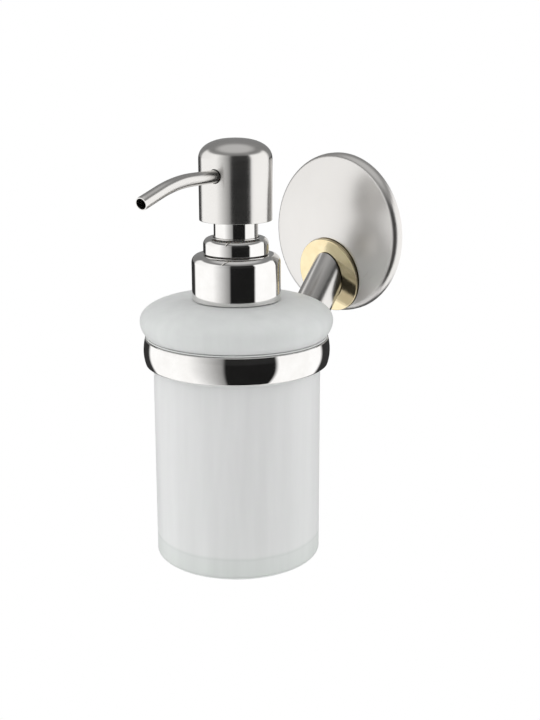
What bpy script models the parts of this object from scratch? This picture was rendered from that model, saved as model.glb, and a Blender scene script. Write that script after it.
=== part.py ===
"""Wall mounted soap dispenser: a frosted glass bottle with a hand pump, hung in a ring on an arm.

Metres, +Z up.  The origin is the middle of the wall bracket's back face, on the wall plane Y = 0.
The object stands out from the wall along -Y and is symmetric about X = 0, apart from the spout,
which is swivelled a little towards +X, and the grub screw on the rosette's -X side.
"""
import math

import bmesh
import bpy
from mathutils import Matrix, Vector

# ---------------------------------------------------------------- driving dimensions
GAP = 0.0003                 # air left between neighbouring pieces
AXIS_Y = -0.0595             # the bottle's axis, measured out from the wall

# Wall rosette and its bracket
ROSETTE_RADIUS = 0.0323
ROSETTE_FACE_RADIUS = 0.0303
ROSETTE_EDGE_DEPTH = 0.0044
ROSETTE_CROWN_DEPTH = 0.0082
ROSETTE_BACK_GAP = 0.0001
HOLLOW_RADIUS = 0.0268
HOLLOW_EDGE_DEPTH = 0.0019
HOLLOW_CROWN_DEPTH = 0.0062
BRACKET_HALF_LENGTH = 0.0258
BRACKET_HALF_HEIGHT = 0.0070
BRACKET_THICKNESS = 0.0018
BRACKET_EDGE = 0.0004
BRACKET_SCREW_X = 0.0130
GRUB_RADIUS = 0.00125
RIM_FOOT = 0.0010            # height of the rim's straight foot
CUT = 0.012                  # how far a cutter stands past the face it opens
SCREW_HEAD_RADIUS = 0.0034
SCREW_HEAD_HEIGHT = 0.0014
HEX_KEY_RADIUS = 0.0014
SLOT_HALF_WIDTH = 0.0004
SLOT_DEPTH = 0.0006
GRUB_DEPTH = 0.0019          # how far its axis stands out from the wall
GRUB_SOCKET_DEPTH = 0.0018
GRUB_SUNK = 0.0004           # how far it sits inside the rim

# Brass disc, laid in a pocket low on the rosette and tipped to look down
DISC_RADIUS = 0.0154
DISC_THICKNESS = 0.0026
DISC_RISE = 0.0003
DISC_EDGE = 0.0004           # rounding of its front edge
DISC_TILT = math.radians(11.2)
DISC_CENTRE = Vector((0.0, -0.0071, -0.0172))

# Arm from the disc down to the ring
ARM_RADIUS = 0.0076
ARM_SLOPE = math.radians(52.0)
ARM_START = Vector((0.0, -0.0070, -0.0165))
ARM_REACH = 0.045
ROOM_TOP = 0.05              # the round cutters about the bottle's axis run from here
ROOM_BOTTOM = -0.10          # down to here, well past both ends of the ring
SHANK_RADIUS = 0.0019
PLATE_UNDER_DISC = 0.0014    # metal between the disc's pocket and the screw's head
ARM_SCREW_TIP = 0.0060       # how far the screw runs into the arm, from the disc's face

# Holder ring round the bottle, below its shoulder
RING_TOP = -0.0334
RING_BOTTOM = -0.0436
RING_BELLY = -0.0386
RING_BELLY_RADIUS = 0.03555
RING_BORE = 0.03325
RING_CURVE_ABOVE = 26.0      # radius lost per square metre of height, above the belly
RING_CURVE_BELOW = 34.0
PAD_RADIUS = 0.0374
PAD_HALF_WIDTH = 0.0072
PAD_TOP = -0.0337
PAD_BOTTOM = -0.0432
RING_SCREW_Z = -0.0384
RING_SCREW_RADIUS = 0.0016
RING_SCREW_HEAD = 0.0337     # from the bottle's axis to the screw's head
RING_SCREW_TIP = 0.0401
RING_SCREW_HEAD_RADIUS = 0.0028
SINK_RADIUS = 0.0041         # mouth of the countersink, where it is cut inside the bore
PAD_ROOT = 0.0336            # where the pad's block starts inside the band
LINER_BORE = 0.0326
LINER_FLANGE_RADIUS = 0.0346
LINER_LIP_RADIUS = 0.0335
LINER_EDGE = 0.00015
LINER_TOP = -0.0327
LINER_BOTTOM = -0.0444

# Frosted glass bottle
BODY_RADIUS_TOP = 0.0319
BODY_RADIUS_FOOT = 0.03225
BODY_FOOT = -0.1199
SHOULDER_RADIUS = 0.03665
SHOULDER_BELLY = -0.0270
SHOULDER_TOP = -0.0193
SHOULDER_SEAT = -0.0324
SHOULDER_SEAT_RADIUS = 0.0344
SHOULDER_FLAT_RADIUS = 0.0200
SHOULDER_POWER = 2.15
GLASS_BORE = 0.0289
GLASS_FLOOR = -0.1115
NECK_RADIUS = 0.0133
NECK_BAND_RADIUS = 0.0141
NECK_BAND_TOP = -0.0093
NECK_BAND_FOOT = -0.0153
INNER_ROOF = -0.0222
INNER_SHOULDER = -0.0240
FOOT_CORNER = 0.0008
FOOT_RIM_RADIUS = 0.0240
PUNT_RADIUS = 0.0225
MOUTH_RADIUS = 0.0113
MOUTH_TOP = -0.0083

# Closure: the wide lower collar that screws down on the neck
CLOSURE_RADIUS = 0.01675
CLOSURE_TOP = -0.0020
CLOSURE_BOTTOM = -0.0190
CLOSURE_WALL = 0.0008
CLOSURE_CORNER = 0.0030
CLOSURE_HOLE = 0.0106

# Guide: the narrow upper collar that the pump's stem slides in
COLLAR_RADIUS = 0.0123
COLLAR_TOP = 0.0044
COLLAR_WALL = 0.0006
COLLAR_CORNER = 0.0027
GUIDE_BORE = 0.0088
GUIDE_FLOOR = 0.0018
SLEEVE_RADIUS = 0.0083
SLEEVE_BOTTOM = -0.0005
SLEEVE_WALL = 0.0006
SLEEVE_AIR = 0.0004

# Pump barrel, piston and valves
BARREL_RADIUS = 0.0066
BARREL_BORE = 0.0057
CUP_RADIUS = 0.01095
CUP_BORE = 0.0102
FLANGE_RADIUS = 0.0135
FLANGE_TOP = -0.0055
FLANGE_THICKNESS = 0.0014
PUMP_WALL = 0.0009
TUBE_SOCKET_RADIUS = 0.0037
TUBE_SOCKET_ROOF = -0.0530
TUBE_SOCKET_FOOT = -0.0610
GASKET_THICKNESS = 0.0008
CUP_FLOOR = -0.0150
SEAT_TOP = -0.0470
SEAT_BOTTOM = -0.0510
DUCT_RADIUS = 0.0017
STEM_RADIUS = 0.0039
STEM_BORE = 0.0014
STEM_TOP = 0.0245
STEM_BOTTOM = -0.0215
STEM_SEAT = 0.0196           # foot of the outlet ball's 45 degree seat
BALL_POCKET_RADIUS = 0.0023
PISTON_TOP = -0.0151
PISTON_BOTTOM = -0.0240
LIP_AIR = 0.0002             # between a piston lip and the barrel
LIP_HEIGHT = 0.0020
INLET_BALL_RADIUS = 0.0024
OUTLET_BALL_RADIUS = 0.0019
SEAT_AIR = 0.0001            # between a resting ball and its seat
DIP_RADIUS = 0.0024
DIP_BOTTOM = -0.1095
SPRING_RADIUS = 0.0045
SPRING_WIRE = 0.00045
SPRING_TURNS = 7
SPRING_BOTTOM = -0.0463

# Pump head and spout
HEAD_RADIUS = 0.0136
HEAD_BOTTOM = 0.0106
HEAD_SHOULDER = 0.0328
HEAD_TOP = 0.0405
HEAD_WALL = 0.0008
HEAD_POWER = 2.3
CORE_BOTTOM = 0.0200
CORE_TOP = 0.0330
CORE_RADIUS = 0.0125
CHAMBER_RADIUS = 0.0028
CHAMBER_TOP = 0.0306
SPOUT_RADIUS = 0.00233
SPOUT_WALL = 0.0005
SPOUT_Z = 0.02755
SPOUT_YAW = math.radians(12.5)
SPOUT_ROOT = 0.0036
SPOUT_BEND_START = 0.0270
SPOUT_BEND_RADIUS = 0.0680
SPOUT_BEND = math.radians(16.5)
SPOUT_TIP_RUN = 0.0094

LARGE_STEPS = 40
MEDIUM_STEPS = 32
SMALL_STEPS = 16
SCREW_STEPS = 14

COLLECTION = "soap_dispenser"
CUTTERS = "cutters"


# ---------------------------------------------------------------- scene and materials
def clear_scene():
    for thing in list(bpy.data.objects):
        bpy.data.objects.remove(thing)


def collection(name):
    made = bpy.data.collections.new(name)
    bpy.context.scene.collection.children.link(made)
    return made


def material(name, colour, roughness, metallic, transmission=0.0):
    made = bpy.data.materials.new(name)
    made.use_nodes = True
    shader = made.node_tree.nodes["Principled BSDF"]
    shader.inputs["Base Color"].default_value = (*colour, 1.0)
    shader.inputs["Roughness"].default_value = roughness
    shader.inputs["Metallic"].default_value = metallic
    shader.inputs["Transmission Weight"].default_value = transmission
    return made


def make_materials():
    return {
        "satin": material("satin_nickel", (0.62, 0.60, 0.57), 0.34, 1.0),
        "polished": material("polished_nickel", (0.72, 0.71, 0.70), 0.08, 1.0),
        "brass": material("polished_brass", (0.83, 0.72, 0.42), 0.12, 1.0),
        "steel": material("zinc_plated_steel", (0.55, 0.55, 0.56), 0.40, 1.0),
        "stainless": material("stainless_steel", (0.60, 0.60, 0.60), 0.25, 1.0),
        "glass": material("frosted_glass", (0.86, 0.89, 0.87), 0.55, 0.0, 0.6),
        "white": material("white_plastic", (0.85, 0.85, 0.83), 0.45, 0.0),
        "clear": material("clear_plastic", (0.90, 0.91, 0.90), 0.35, 0.0, 0.4),
        "rubber": material("grey_rubber", (0.25, 0.25, 0.25), 0.80, 0.0),
    }


# ---------------------------------------------------------------- outline helpers
def rounded(corners, steps=3):
    """Points of an outline; a corner (x, z, radius) is replaced by an arc of that radius."""
    points = []
    count = len(corners)
    for index, corner in enumerate(corners):
        here = Vector(corner[:2])
        radius = corner[2] if len(corner) > 2 else 0.0
        if radius <= 0.0:
            points.append(here)
            continue
        back = (Vector(corners[index - 1][:2]) - here).normalized()
        ahead = (Vector(corners[(index + 1) % count][:2]) - here).normalized()
        half = back.angle(ahead) / 2.0
        reach = radius / math.tan(half)
        centre = here + (back + ahead).normalized() * (radius / math.sin(half))
        first = here + back * reach - centre
        last = here + ahead * reach - centre
        swing = first.angle_signed(last)
        for step in range(steps + 1):
            turned = first.copy()
            turned.rotate(Matrix.Rotation(-swing * step / steps, 2))
            points.append(centre + turned)
    return [(point.x, point.y) for point in points]


def superellipse(centre_x, centre_z, width, height, power, steps):
    """Quarter outline from its top, above the centre, round to its side, level with the centre."""
    points = []
    for step in range(steps + 1):
        angle = math.pi / 2.0 * (1.0 - step / steps)
        across = math.cos(angle) ** (2.0 / power)
        up = math.sin(angle) ** (2.0 / power)
        points.append((centre_x + width * across, centre_z + height * up))
    return points


# ---------------------------------------------------------------- object helpers
class Workshop:
    """Keeps the two collections and the materials at hand for the functions that make pieces."""

    def __init__(self):
        self.parts = collection(COLLECTION)
        self.cutters = collection(CUTTERS)
        self.materials = make_materials()

    def place(self, name, mesh, finish):
        made = bpy.data.objects.new(name, mesh)
        if finish is None:
            self.cutters.objects.link(made)
            made.display_type = "WIRE"
            made.hide_render = True
        else:
            self.parts.objects.link(made)
            mesh.materials.append(self.materials[finish])
        return made

    def turned(self, name, profile, steps, finish, closed=False):
        """A piece turned about its own Z, from a profile that runs down its outer side."""
        mesh = bpy.data.meshes.new(name)
        points = [(radius, 0.0, height) for radius, height in profile]
        edges = [(index, index + 1) for index in range(len(points) - 1)]
        if closed:
            edges.append((len(points) - 1, 0))
        mesh.from_pydata(points, edges, [])
        made = self.place(name, mesh, finish)
        lathe = made.modifiers.new("turn", "SCREW")
        lathe.axis = "Z"
        lathe.steps = steps
        lathe.render_steps = steps
        lathe.use_merge_vertices = True
        lathe.merge_threshold = 0.000005
        lathe.use_smooth_shade = True
        return made

    def box(self, name, low, high, finish):
        mesh = bpy.data.meshes.new(name)
        shape = bmesh.new()
        bmesh.ops.create_cube(shape, size=1.0)
        size = Vector(high) - Vector(low)
        middle = (Vector(high) + Vector(low)) / 2.0
        bmesh.ops.scale(shape, vec=size, verts=shape.verts)
        bmesh.ops.translate(shape, vec=middle, verts=shape.verts)
        shape.to_mesh(mesh)
        shape.free()
        return self.place(name, mesh, finish)

    def rod(self, name, start, end, radius, steps, finish, end_radius=None):
        """A straight round bar between two points, or a cone when end_radius is given."""
        start = Vector(start)
        end = Vector(end)
        mesh = bpy.data.meshes.new(name)
        shape = bmesh.new()
        bmesh.ops.create_cone(
            shape,
            cap_ends=True,
            segments=steps,
            radius1=radius,
            radius2=radius if end_radius is None else end_radius,
            depth=(end - start).length,
        )
        shape.to_mesh(mesh)
        shape.free()
        made = self.place(name, mesh, finish)
        made.rotation_mode = "QUATERNION"
        made.rotation_quaternion = Vector((0.0, 0.0, 1.0)).rotation_difference(end - start)
        made.location = (start + end) / 2.0
        return made

    def ball(self, name, centre, radius, finish):
        mesh = bpy.data.meshes.new(name)
        shape = bmesh.new()
        bmesh.ops.create_uvsphere(shape, u_segments=14, v_segments=9, radius=radius)
        shape.to_mesh(mesh)
        shape.free()
        mesh.shade_smooth()
        made = self.place(name, mesh, finish)
        made.location = centre
        return made

    def from_curve(self, name, points, radius, resolution, finish, caps=True):
        """A round wire or tube along a row of points, made a mesh whose caps are welded on."""
        curve = bpy.data.curves.new(name, "CURVE")
        curve.dimensions = "3D"
        curve.bevel_depth = radius
        curve.bevel_resolution = resolution
        curve.use_fill_caps = caps
        spline = curve.splines.new("POLY")
        spline.points.add(len(points) - 1)
        for control, point in zip(spline.points, points):
            control.co = (*point, 1.0)
        wire = bpy.data.objects.new(name + "_path", curve)
        self.cutters.objects.link(wire)
        bpy.context.view_layer.update()
        evaluated = wire.evaluated_get(bpy.context.evaluated_depsgraph_get())
        mesh = bpy.data.meshes.new_from_object(evaluated)
        mesh.name = name
        shape = bmesh.new()
        shape.from_mesh(mesh)
        bmesh.ops.remove_doubles(shape, verts=shape.verts, dist=0.000002)
        shape.to_mesh(mesh)
        shape.free()
        mesh.materials.clear()
        made = self.place(name, mesh, finish)
        made.matrix_world = wire.matrix_world
        bpy.data.objects.remove(wire)
        return made


def boolean(target, tool, operation="DIFFERENCE"):
    cut = target.modifiers.new(tool.name, "BOOLEAN")
    cut.operation = operation
    cut.object = tool
    return cut


def bevel(target, width, segments=1, angle=math.radians(40.0)):
    edge = target.modifiers.new("edges", "BEVEL")
    edge.width = width
    edge.segments = segments
    edge.limit_method = "ANGLE"
    edge.angle_limit = angle


def empty(shop, name, location, parent=None):
    made = bpy.data.objects.new(name, None)
    made.location = location
    made.empty_display_size = 0.01
    shop.cutters.objects.link(made)
    made.parent = parent
    return made


# ---------------------------------------------------------------- wall side
OUT_OF_WALL = math.pi / 2.0          # turns a piece made about Z so that its top looks along -Y


def disc_point(out):
    """A point on the brass disc's axis, given how far it stands in front of the disc's face."""
    return DISC_CENTRE + Vector((0.0, -math.cos(DISC_TILT), -math.sin(DISC_TILT))) * out


def make_wall_plate(shop):
    """Cast rosette: a low dome with a rounded rim, hollow at the back."""
    face_steps = 4
    dome = []
    for step in range(face_steps + 1):
        radius = ROSETTE_FACE_RADIUS * step / face_steps
        drop = (ROSETTE_CROWN_DEPTH - ROSETTE_EDGE_DEPTH) * (radius / ROSETTE_FACE_RADIUS) ** 2
        dome.append((radius, ROSETTE_CROWN_DEPTH - drop))
    rim = superellipse(
        ROSETTE_FACE_RADIUS, ROSETTE_BACK_GAP + RIM_FOOT,
        ROSETTE_RADIUS - ROSETTE_FACE_RADIUS, ROSETTE_EDGE_DEPTH - ROSETTE_BACK_GAP - RIM_FOOT, 2.0, 4,
    )[1:]
    back = [
        (ROSETTE_RADIUS, ROSETTE_BACK_GAP),
        (HOLLOW_RADIUS, ROSETTE_BACK_GAP),
        (HOLLOW_RADIUS, HOLLOW_EDGE_DEPTH),
        (0.0, HOLLOW_CROWN_DEPTH),
    ]
    plate = shop.turned("wall_plate", dome + rim + back, 48, "satin")
    plate.rotation_euler = (OUT_OF_WALL, 0.0, 0.0)
    pocket = shop.rod(
        "disc_pocket", disc_point(-DISC_THICKNESS - GAP), disc_point(CUT),
        DISC_RADIUS + GAP, 40, None,
    )
    boolean(plate, pocket)
    hole = shop.rod(
        "plate_screw_hole", disc_point(-CUT), disc_point(0.0), SHANK_RADIUS + GAP, SCREW_STEPS, None,
    )
    boolean(plate, hole)
    grub_hole = shop.rod(
        "grub_hole", (-HOLLOW_RADIUS + RIM_FOOT, -GRUB_DEPTH, 0.0), (-ROSETTE_RADIUS - CUT, -GRUB_DEPTH, 0.0),
        GRUB_RADIUS + GAP, SCREW_STEPS, None,
    )
    boolean(plate, grub_hole)
    return plate


def make_brass_disc(shop):
    """Turned disc with a broken edge and a slightly raised face, bored for the arm's screw."""
    bore = SHANK_RADIUS + GAP
    profile = rounded([
        (bore, DISC_RISE),
        (DISC_RADIUS * 0.6, DISC_RISE * 0.6),
        (DISC_RADIUS, 0.0, DISC_EDGE),
        (DISC_RADIUS, -DISC_THICKNESS),
        (bore, -DISC_THICKNESS),
    ], steps=2)
    disc = shop.turned("brass_disc", profile, 40, "brass", closed=True)
    disc.location = DISC_CENTRE
    disc.rotation_euler = (OUT_OF_WALL + DISC_TILT, 0.0, 0.0)
    return disc


def make_bracket(shop):
    """Steel strip screwed to the wall; the rosette hangs on it and its grub screw grips the end."""
    bracket = shop.box(
        "wall_bracket",
        (-BRACKET_HALF_LENGTH, -BRACKET_THICKNESS, -BRACKET_HALF_HEIGHT),
        (BRACKET_HALF_LENGTH, 0.0, BRACKET_HALF_HEIGHT),
        "steel",
    )
    bevel(bracket, BRACKET_EDGE)
    for side, sign in (("left", -1.0), ("right", 1.0)):
        x = sign * BRACKET_SCREW_X
        hole = shop.rod(
            "bracket_hole_" + side, (x, CUT, 0.0), (x, -CUT, 0.0), SHANK_RADIUS + GAP, SCREW_STEPS, None,
        )
        sink = shop.rod(
            "bracket_sink_" + side, (x, -BRACKET_EDGE, 0.0), (x, -BRACKET_THICKNESS - BRACKET_EDGE, 0.0),
            SHANK_RADIUS + GAP * 0.5, 20, None, end_radius=SINK_RADIUS,
        )
        boolean(bracket, hole)
        boolean(bracket, sink)
    return bracket


def make_bracket_screw(shop, side, x):
    """Countersunk wall screw, shown up to the wall plane, with a straight slot."""
    profile = [
        (0.0, BRACKET_THICKNESS),
        (SCREW_HEAD_RADIUS, BRACKET_THICKNESS),
        (SHANK_RADIUS, BRACKET_THICKNESS - SCREW_HEAD_HEIGHT),
        (SHANK_RADIUS, ROSETTE_BACK_GAP),
        (0.0, ROSETTE_BACK_GAP),
    ]
    screw = shop.turned("bracket_screw_" + side, profile, 20, "steel")
    screw.rotation_euler = (OUT_OF_WALL, 0.0, 0.0)
    screw.location = (x, 0.0, 0.0)
    slot = shop.box(
        "slot_" + side, (x - CUT / 2.0, -CUT, -SLOT_HALF_WIDTH),
        (x + CUT / 2.0, -BRACKET_THICKNESS + SLOT_DEPTH, SLOT_HALF_WIDTH), None,
    )
    boolean(screw, slot)
    return screw


def make_grub_screw(shop):
    """Headless screw in the rosette's rim, with a hexagon socket in its outer end."""
    tip = -BRACKET_HALF_LENGTH - GAP
    tail = -ROSETTE_RADIUS + GRUB_SUNK
    grub = shop.rod(
        "rosette_grub_screw", (tip, -GRUB_DEPTH, 0.0), (tail, -GRUB_DEPTH, 0.0),
        GRUB_RADIUS, SCREW_STEPS, "steel",
    )
    socket = shop.rod(
        "grub_socket", (tail + GRUB_SOCKET_DEPTH, -GRUB_DEPTH, 0.0), (tail - CUT, -GRUB_DEPTH, 0.0),
        HEX_KEY_RADIUS / 2.0, 6, None,
    )
    boolean(grub, socket)
    return grub


def make_arm_screw(shop):
    """Pan head screw from the rosette's hollow, through plate and disc, into the arm."""
    seat = -DISC_THICKNESS - GAP - PLATE_UNDER_DISC
    profile = rounded([
        (0.0, ARM_SCREW_TIP),
        (SHANK_RADIUS, ARM_SCREW_TIP),
        (SHANK_RADIUS, seat),
        (SCREW_HEAD_RADIUS, seat),
        (SCREW_HEAD_RADIUS, seat - SCREW_HEAD_HEIGHT, SCREW_HEAD_HEIGHT * 0.4),
        (0.0, seat - SCREW_HEAD_HEIGHT),
    ], steps=2)
    screw = shop.turned("arm_screw", profile, 20, "steel")
    screw.location = DISC_CENTRE
    screw.rotation_euler = (OUT_OF_WALL + DISC_TILT, 0.0, 0.0)
    socket = shop.rod(
        "arm_screw_socket", disc_point(seat - CUT), disc_point(seat - SCREW_HEAD_HEIGHT * 0.4),
        HEX_KEY_RADIUS, 6, None,
    )
    boolean(screw, socket)
    return screw


def make_arm(shop):
    """Round bar sloping down from the disc; both ends are cut to the faces that they meet."""
    slope = Vector((0.0, -math.cos(ARM_SLOPE), -math.sin(ARM_SLOPE)))
    arm = shop.rod(
        "arm", ARM_START - slope * CUT, ARM_START + slope * ARM_REACH, ARM_RADIUS, 36, "satin",
    )
    behind = shop.rod(
        "arm_foot_cut", disc_point(-ARM_REACH), disc_point(DISC_RISE + GAP), ARM_REACH, 48, None,
    )
    boolean(arm, behind)
    room = shop.turned(
        "bottle_room",
        [
            (0.0, ROOM_TOP), (PAD_RADIUS + GAP, ROOM_TOP),
            (PAD_RADIUS + GAP, ROOM_BOTTOM), (0.0, ROOM_BOTTOM),
        ],
        96, None,
    )
    room.location = (0.0, AXIS_Y, 0.0)
    boolean(arm, room)
    below_pad = shop.box(
        "arm_end_cut", (-ARM_REACH, AXIS_Y, ROOM_BOTTOM), (ARM_REACH, 0.0, PAD_BOTTOM), None,
    )
    boolean(arm, below_pad)
    foot_bore = shop.rod(
        "arm_screw_bore", disc_point(-CUT), disc_point(ARM_SCREW_TIP + GAP),
        SHANK_RADIUS + GAP, SCREW_STEPS, None,
    )
    boolean(arm, foot_bore)
    end_bore = shop.rod(
        "ring_screw_bore", (0.0, AXIS_Y + LINER_BORE, RING_SCREW_Z),
        (0.0, AXIS_Y + RING_SCREW_TIP + GAP, RING_SCREW_Z),
        RING_SCREW_RADIUS + GAP, SCREW_STEPS, None,
    )
    boolean(arm, end_bore)
    return arm


# ---------------------------------------------------------------- ring
def ring_radius(height):
    """The band bulges: its radius falls off as the square of the height from its belly."""
    away = height - RING_BELLY
    loss = RING_CURVE_ABOVE if away > 0.0 else RING_CURVE_BELOW
    return RING_BELLY_RADIUS - loss * away * away


def make_holder_ring(shop):
    """Bulging band that carries the bottle, with a pad on its back where the arm is screwed on."""
    steps = 7
    outside = []
    for step in range(steps + 1):
        height = RING_TOP + (RING_BOTTOM - RING_TOP) * step / steps
        outside.append((ring_radius(height), height))
    profile = [(RING_BORE, RING_TOP)] + outside + [(RING_BORE, RING_BOTTOM)]
    ring = shop.turned("holder_ring", profile, LARGE_STEPS, "polished", closed=True)
    ring.location = (0.0, AXIS_Y, 0.0)
    pad = shop.box(
        "ring_pad",
        (-PAD_HALF_WIDTH, AXIS_Y + PAD_ROOT, PAD_BOTTOM),
        (PAD_HALF_WIDTH, AXIS_Y + PAD_RADIUS + CUT, PAD_TOP),
        None,
    )
    trim = shop.turned(
        "pad_trim",
        [(0.0, ROOM_TOP), (PAD_RADIUS, ROOM_TOP), (PAD_RADIUS, ROOM_BOTTOM), (0.0, ROOM_BOTTOM)],
        96, None,
    )
    trim.location = (0.0, AXIS_Y, 0.0)
    boolean(pad, trim, "INTERSECT")
    boolean(ring, pad, "UNION")
    hole = shop.rod(
        "ring_screw_hole", (0.0, AXIS_Y + LINER_BORE, RING_SCREW_Z),
        (0.0, AXIS_Y + RING_SCREW_TIP, RING_SCREW_Z),
        RING_SCREW_RADIUS + GAP, SCREW_STEPS, None,
    )
    boolean(ring, hole)
    sink = shop.rod(
        "ring_screw_sink", (0.0, AXIS_Y + LINER_BORE - 2.0 * GAP / 3.0, RING_SCREW_Z),
        (0.0, AXIS_Y + RING_SCREW_HEAD + SCREW_HEAD_HEIGHT + GAP / 3.0, RING_SCREW_Z),
        SINK_RADIUS, 20, None, end_radius=RING_SCREW_RADIUS + GAP * 0.9,
    )
    boolean(ring, sink)
    return ring


def make_ring_screw(shop):
    """Countersunk screw from inside the ring, through its pad, into the arm's lower end."""
    profile = [
        (0.0, RING_SCREW_TIP),
        (RING_SCREW_RADIUS, RING_SCREW_TIP),
        (RING_SCREW_RADIUS, RING_SCREW_HEAD + SCREW_HEAD_HEIGHT),
        (RING_SCREW_HEAD_RADIUS, RING_SCREW_HEAD),
        (0.0, RING_SCREW_HEAD),
    ]
    screw = shop.turned("ring_screw", profile, 18, "steel")
    screw.rotation_euler = (-math.pi / 2.0, 0.0, 0.0)
    screw.location = (0.0, AXIS_Y, RING_SCREW_Z)
    socket = shop.rod(
        "ring_screw_socket", (0.0, AXIS_Y + RING_SCREW_HEAD - CUT, RING_SCREW_Z),
        (0.0, AXIS_Y + RING_SCREW_HEAD + SCREW_HEAD_HEIGHT * 0.8, RING_SCREW_Z),
        HEX_KEY_RADIUS * 0.7, 6, None,
    )
    boolean(screw, socket)
    return screw


def make_ring_liner(shop):
    """Thin plastic sleeve between ring and glass; its lips show above and below the ring."""
    skin = RING_BORE - GAP
    profile = rounded([
        (LINER_BORE, LINER_TOP),
        (LINER_FLANGE_RADIUS, LINER_TOP, LINER_EDGE),
        (LINER_FLANGE_RADIUS, RING_TOP + GAP),
        (skin, RING_TOP + GAP),
        (skin, RING_BOTTOM - GAP),
        (LINER_LIP_RADIUS, RING_BOTTOM - GAP),
        (LINER_LIP_RADIUS, LINER_BOTTOM, LINER_EDGE),
        (LINER_BORE, LINER_BOTTOM),
    ], steps=1)
    liner = shop.turned("ring_liner", profile, LARGE_STEPS, "clear", closed=True)
    liner.location = (0.0, AXIS_Y, 0.0)
    return liner


# ---------------------------------------------------------------- bottle
def bottle_outline():
    """Outer outline of the glass from its mouth to the middle of its foot, then the inner one back."""
    neck = [
        (MOUTH_RADIUS, MOUTH_TOP),
        (NECK_RADIUS, MOUTH_TOP),
        (NECK_BAND_RADIUS, NECK_BAND_TOP),
        (NECK_BAND_RADIUS, NECK_BAND_FOOT),
        (NECK_RADIUS, NECK_BAND_FOOT - (MOUTH_TOP - NECK_BAND_TOP)),
        (NECK_RADIUS, SHOULDER_TOP),
    ]
    shoulder = superellipse(
        SHOULDER_FLAT_RADIUS, SHOULDER_BELLY,
        SHOULDER_RADIUS - SHOULDER_FLAT_RADIUS, SHOULDER_TOP - SHOULDER_BELLY, SHOULDER_POWER, 6,
    )
    drop = SHOULDER_BELLY - SHOULDER_SEAT
    below = 3
    for step in range(1, below + 1):
        part = step / below
        radius = SHOULDER_RADIUS - (SHOULDER_RADIUS - SHOULDER_SEAT_RADIUS) * part ** 2
        shoulder.append((radius, SHOULDER_BELLY - drop * part))
    outside = rounded([
        shoulder[-1],
        (BODY_RADIUS_TOP, SHOULDER_SEAT),
        (BODY_RADIUS_FOOT, BODY_FOOT, FOOT_CORNER),
        (FOOT_RIM_RADIUS, BODY_FOOT),
        (PUNT_RADIUS, BODY_FOOT + FOOT_CORNER),
        (0.0, BODY_FOOT + FOOT_CORNER),
    ], steps=2)[1:]
    inside = rounded([
        (0.0, GLASS_FLOOR),
        (GLASS_BORE, GLASS_FLOOR, 0.0030),
        (GLASS_BORE, INNER_SHOULDER, 0.0060),
        (MOUTH_RADIUS, INNER_ROOF, 0.0030),
        (MOUTH_RADIUS, MOUTH_TOP),
    ], steps=2)[:-1]
    return neck + shoulder + outside, inside


def make_bottle(shop):
    """Frosted bottle: a flat round shoulder over a straight body, with a heavy base."""
    outside, inside = bottle_outline()
    bottle = shop.turned("glass_bottle", outside + inside, LARGE_STEPS, "glass", closed=True)
    return bottle


# ---------------------------------------------------------------- closure
def make_closure_shell(shop):
    """Polished metal skirt with a rounded shoulder and a hole for the pump's guide."""
    inner = CLOSURE_RADIUS - CLOSURE_WALL
    profile = rounded([
        (CLOSURE_HOLE, CLOSURE_TOP),
        (CLOSURE_RADIUS, CLOSURE_TOP, CLOSURE_CORNER),
        (CLOSURE_RADIUS, CLOSURE_BOTTOM),
        (inner, CLOSURE_BOTTOM),
        (inner, CLOSURE_TOP - CLOSURE_WALL, CLOSURE_CORNER - CLOSURE_WALL),
        (CLOSURE_HOLE, CLOSURE_TOP - CLOSURE_WALL),
    ], steps=2)
    return shop.turned("closure_shell", profile, MEDIUM_STEPS, "polished", closed=True)


def make_closure_nut(shop):
    """Plastic nut held in the metal skirt; it draws the pump's flange down on the bottle's mouth."""
    outer = CLOSURE_RADIUS - CLOSURE_WALL - GAP
    roof = CLOSURE_TOP - CLOSURE_WALL - GAP
    profile = rounded([
        (CLOSURE_HOLE + GAP, roof),
        (outer, roof, CLOSURE_CORNER - CLOSURE_WALL),
        (outer, CLOSURE_BOTTOM + GAP),
        (NECK_BAND_RADIUS + GAP, CLOSURE_BOTTOM + GAP),
        (NECK_BAND_RADIUS + GAP, FLANGE_TOP + GAP),
        (CLOSURE_HOLE + GAP, FLANGE_TOP + GAP),
    ], steps=2)
    return shop.turned("closure_nut", profile, 28, "white", closed=True)


# ---------------------------------------------------------------- pump
def make_pump_cylinder(shop):
    """Moulded pump body: flange, wide cup, barrel, valve seat and the socket for the dip tube."""
    profile = [
        (CUP_BORE, FLANGE_TOP),
        (FLANGE_RADIUS, FLANGE_TOP),
        (FLANGE_RADIUS, FLANGE_TOP - FLANGE_THICKNESS),
        (CUP_RADIUS, FLANGE_TOP - FLANGE_THICKNESS),
        (CUP_RADIUS, CUP_FLOOR - PUMP_WALL),
        (BARREL_RADIUS, CUP_FLOOR - PUMP_WALL),
        (BARREL_RADIUS, SEAT_TOP - PUMP_WALL),
        (TUBE_SOCKET_RADIUS, SEAT_BOTTOM - PUMP_WALL / 2.0),
        (TUBE_SOCKET_RADIUS, TUBE_SOCKET_FOOT),
        (DIP_RADIUS + GAP, TUBE_SOCKET_FOOT),
        (DIP_RADIUS + GAP, TUBE_SOCKET_ROOF),
        (DUCT_RADIUS, TUBE_SOCKET_ROOF),
        (DUCT_RADIUS, SEAT_BOTTOM),
        (BARREL_BORE, SEAT_TOP),
        (BARREL_BORE, CUP_FLOOR),
        (CUP_BORE, CUP_FLOOR),
    ]
    return shop.turned("pump_cylinder", profile, 24, "white", closed=True)


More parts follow.
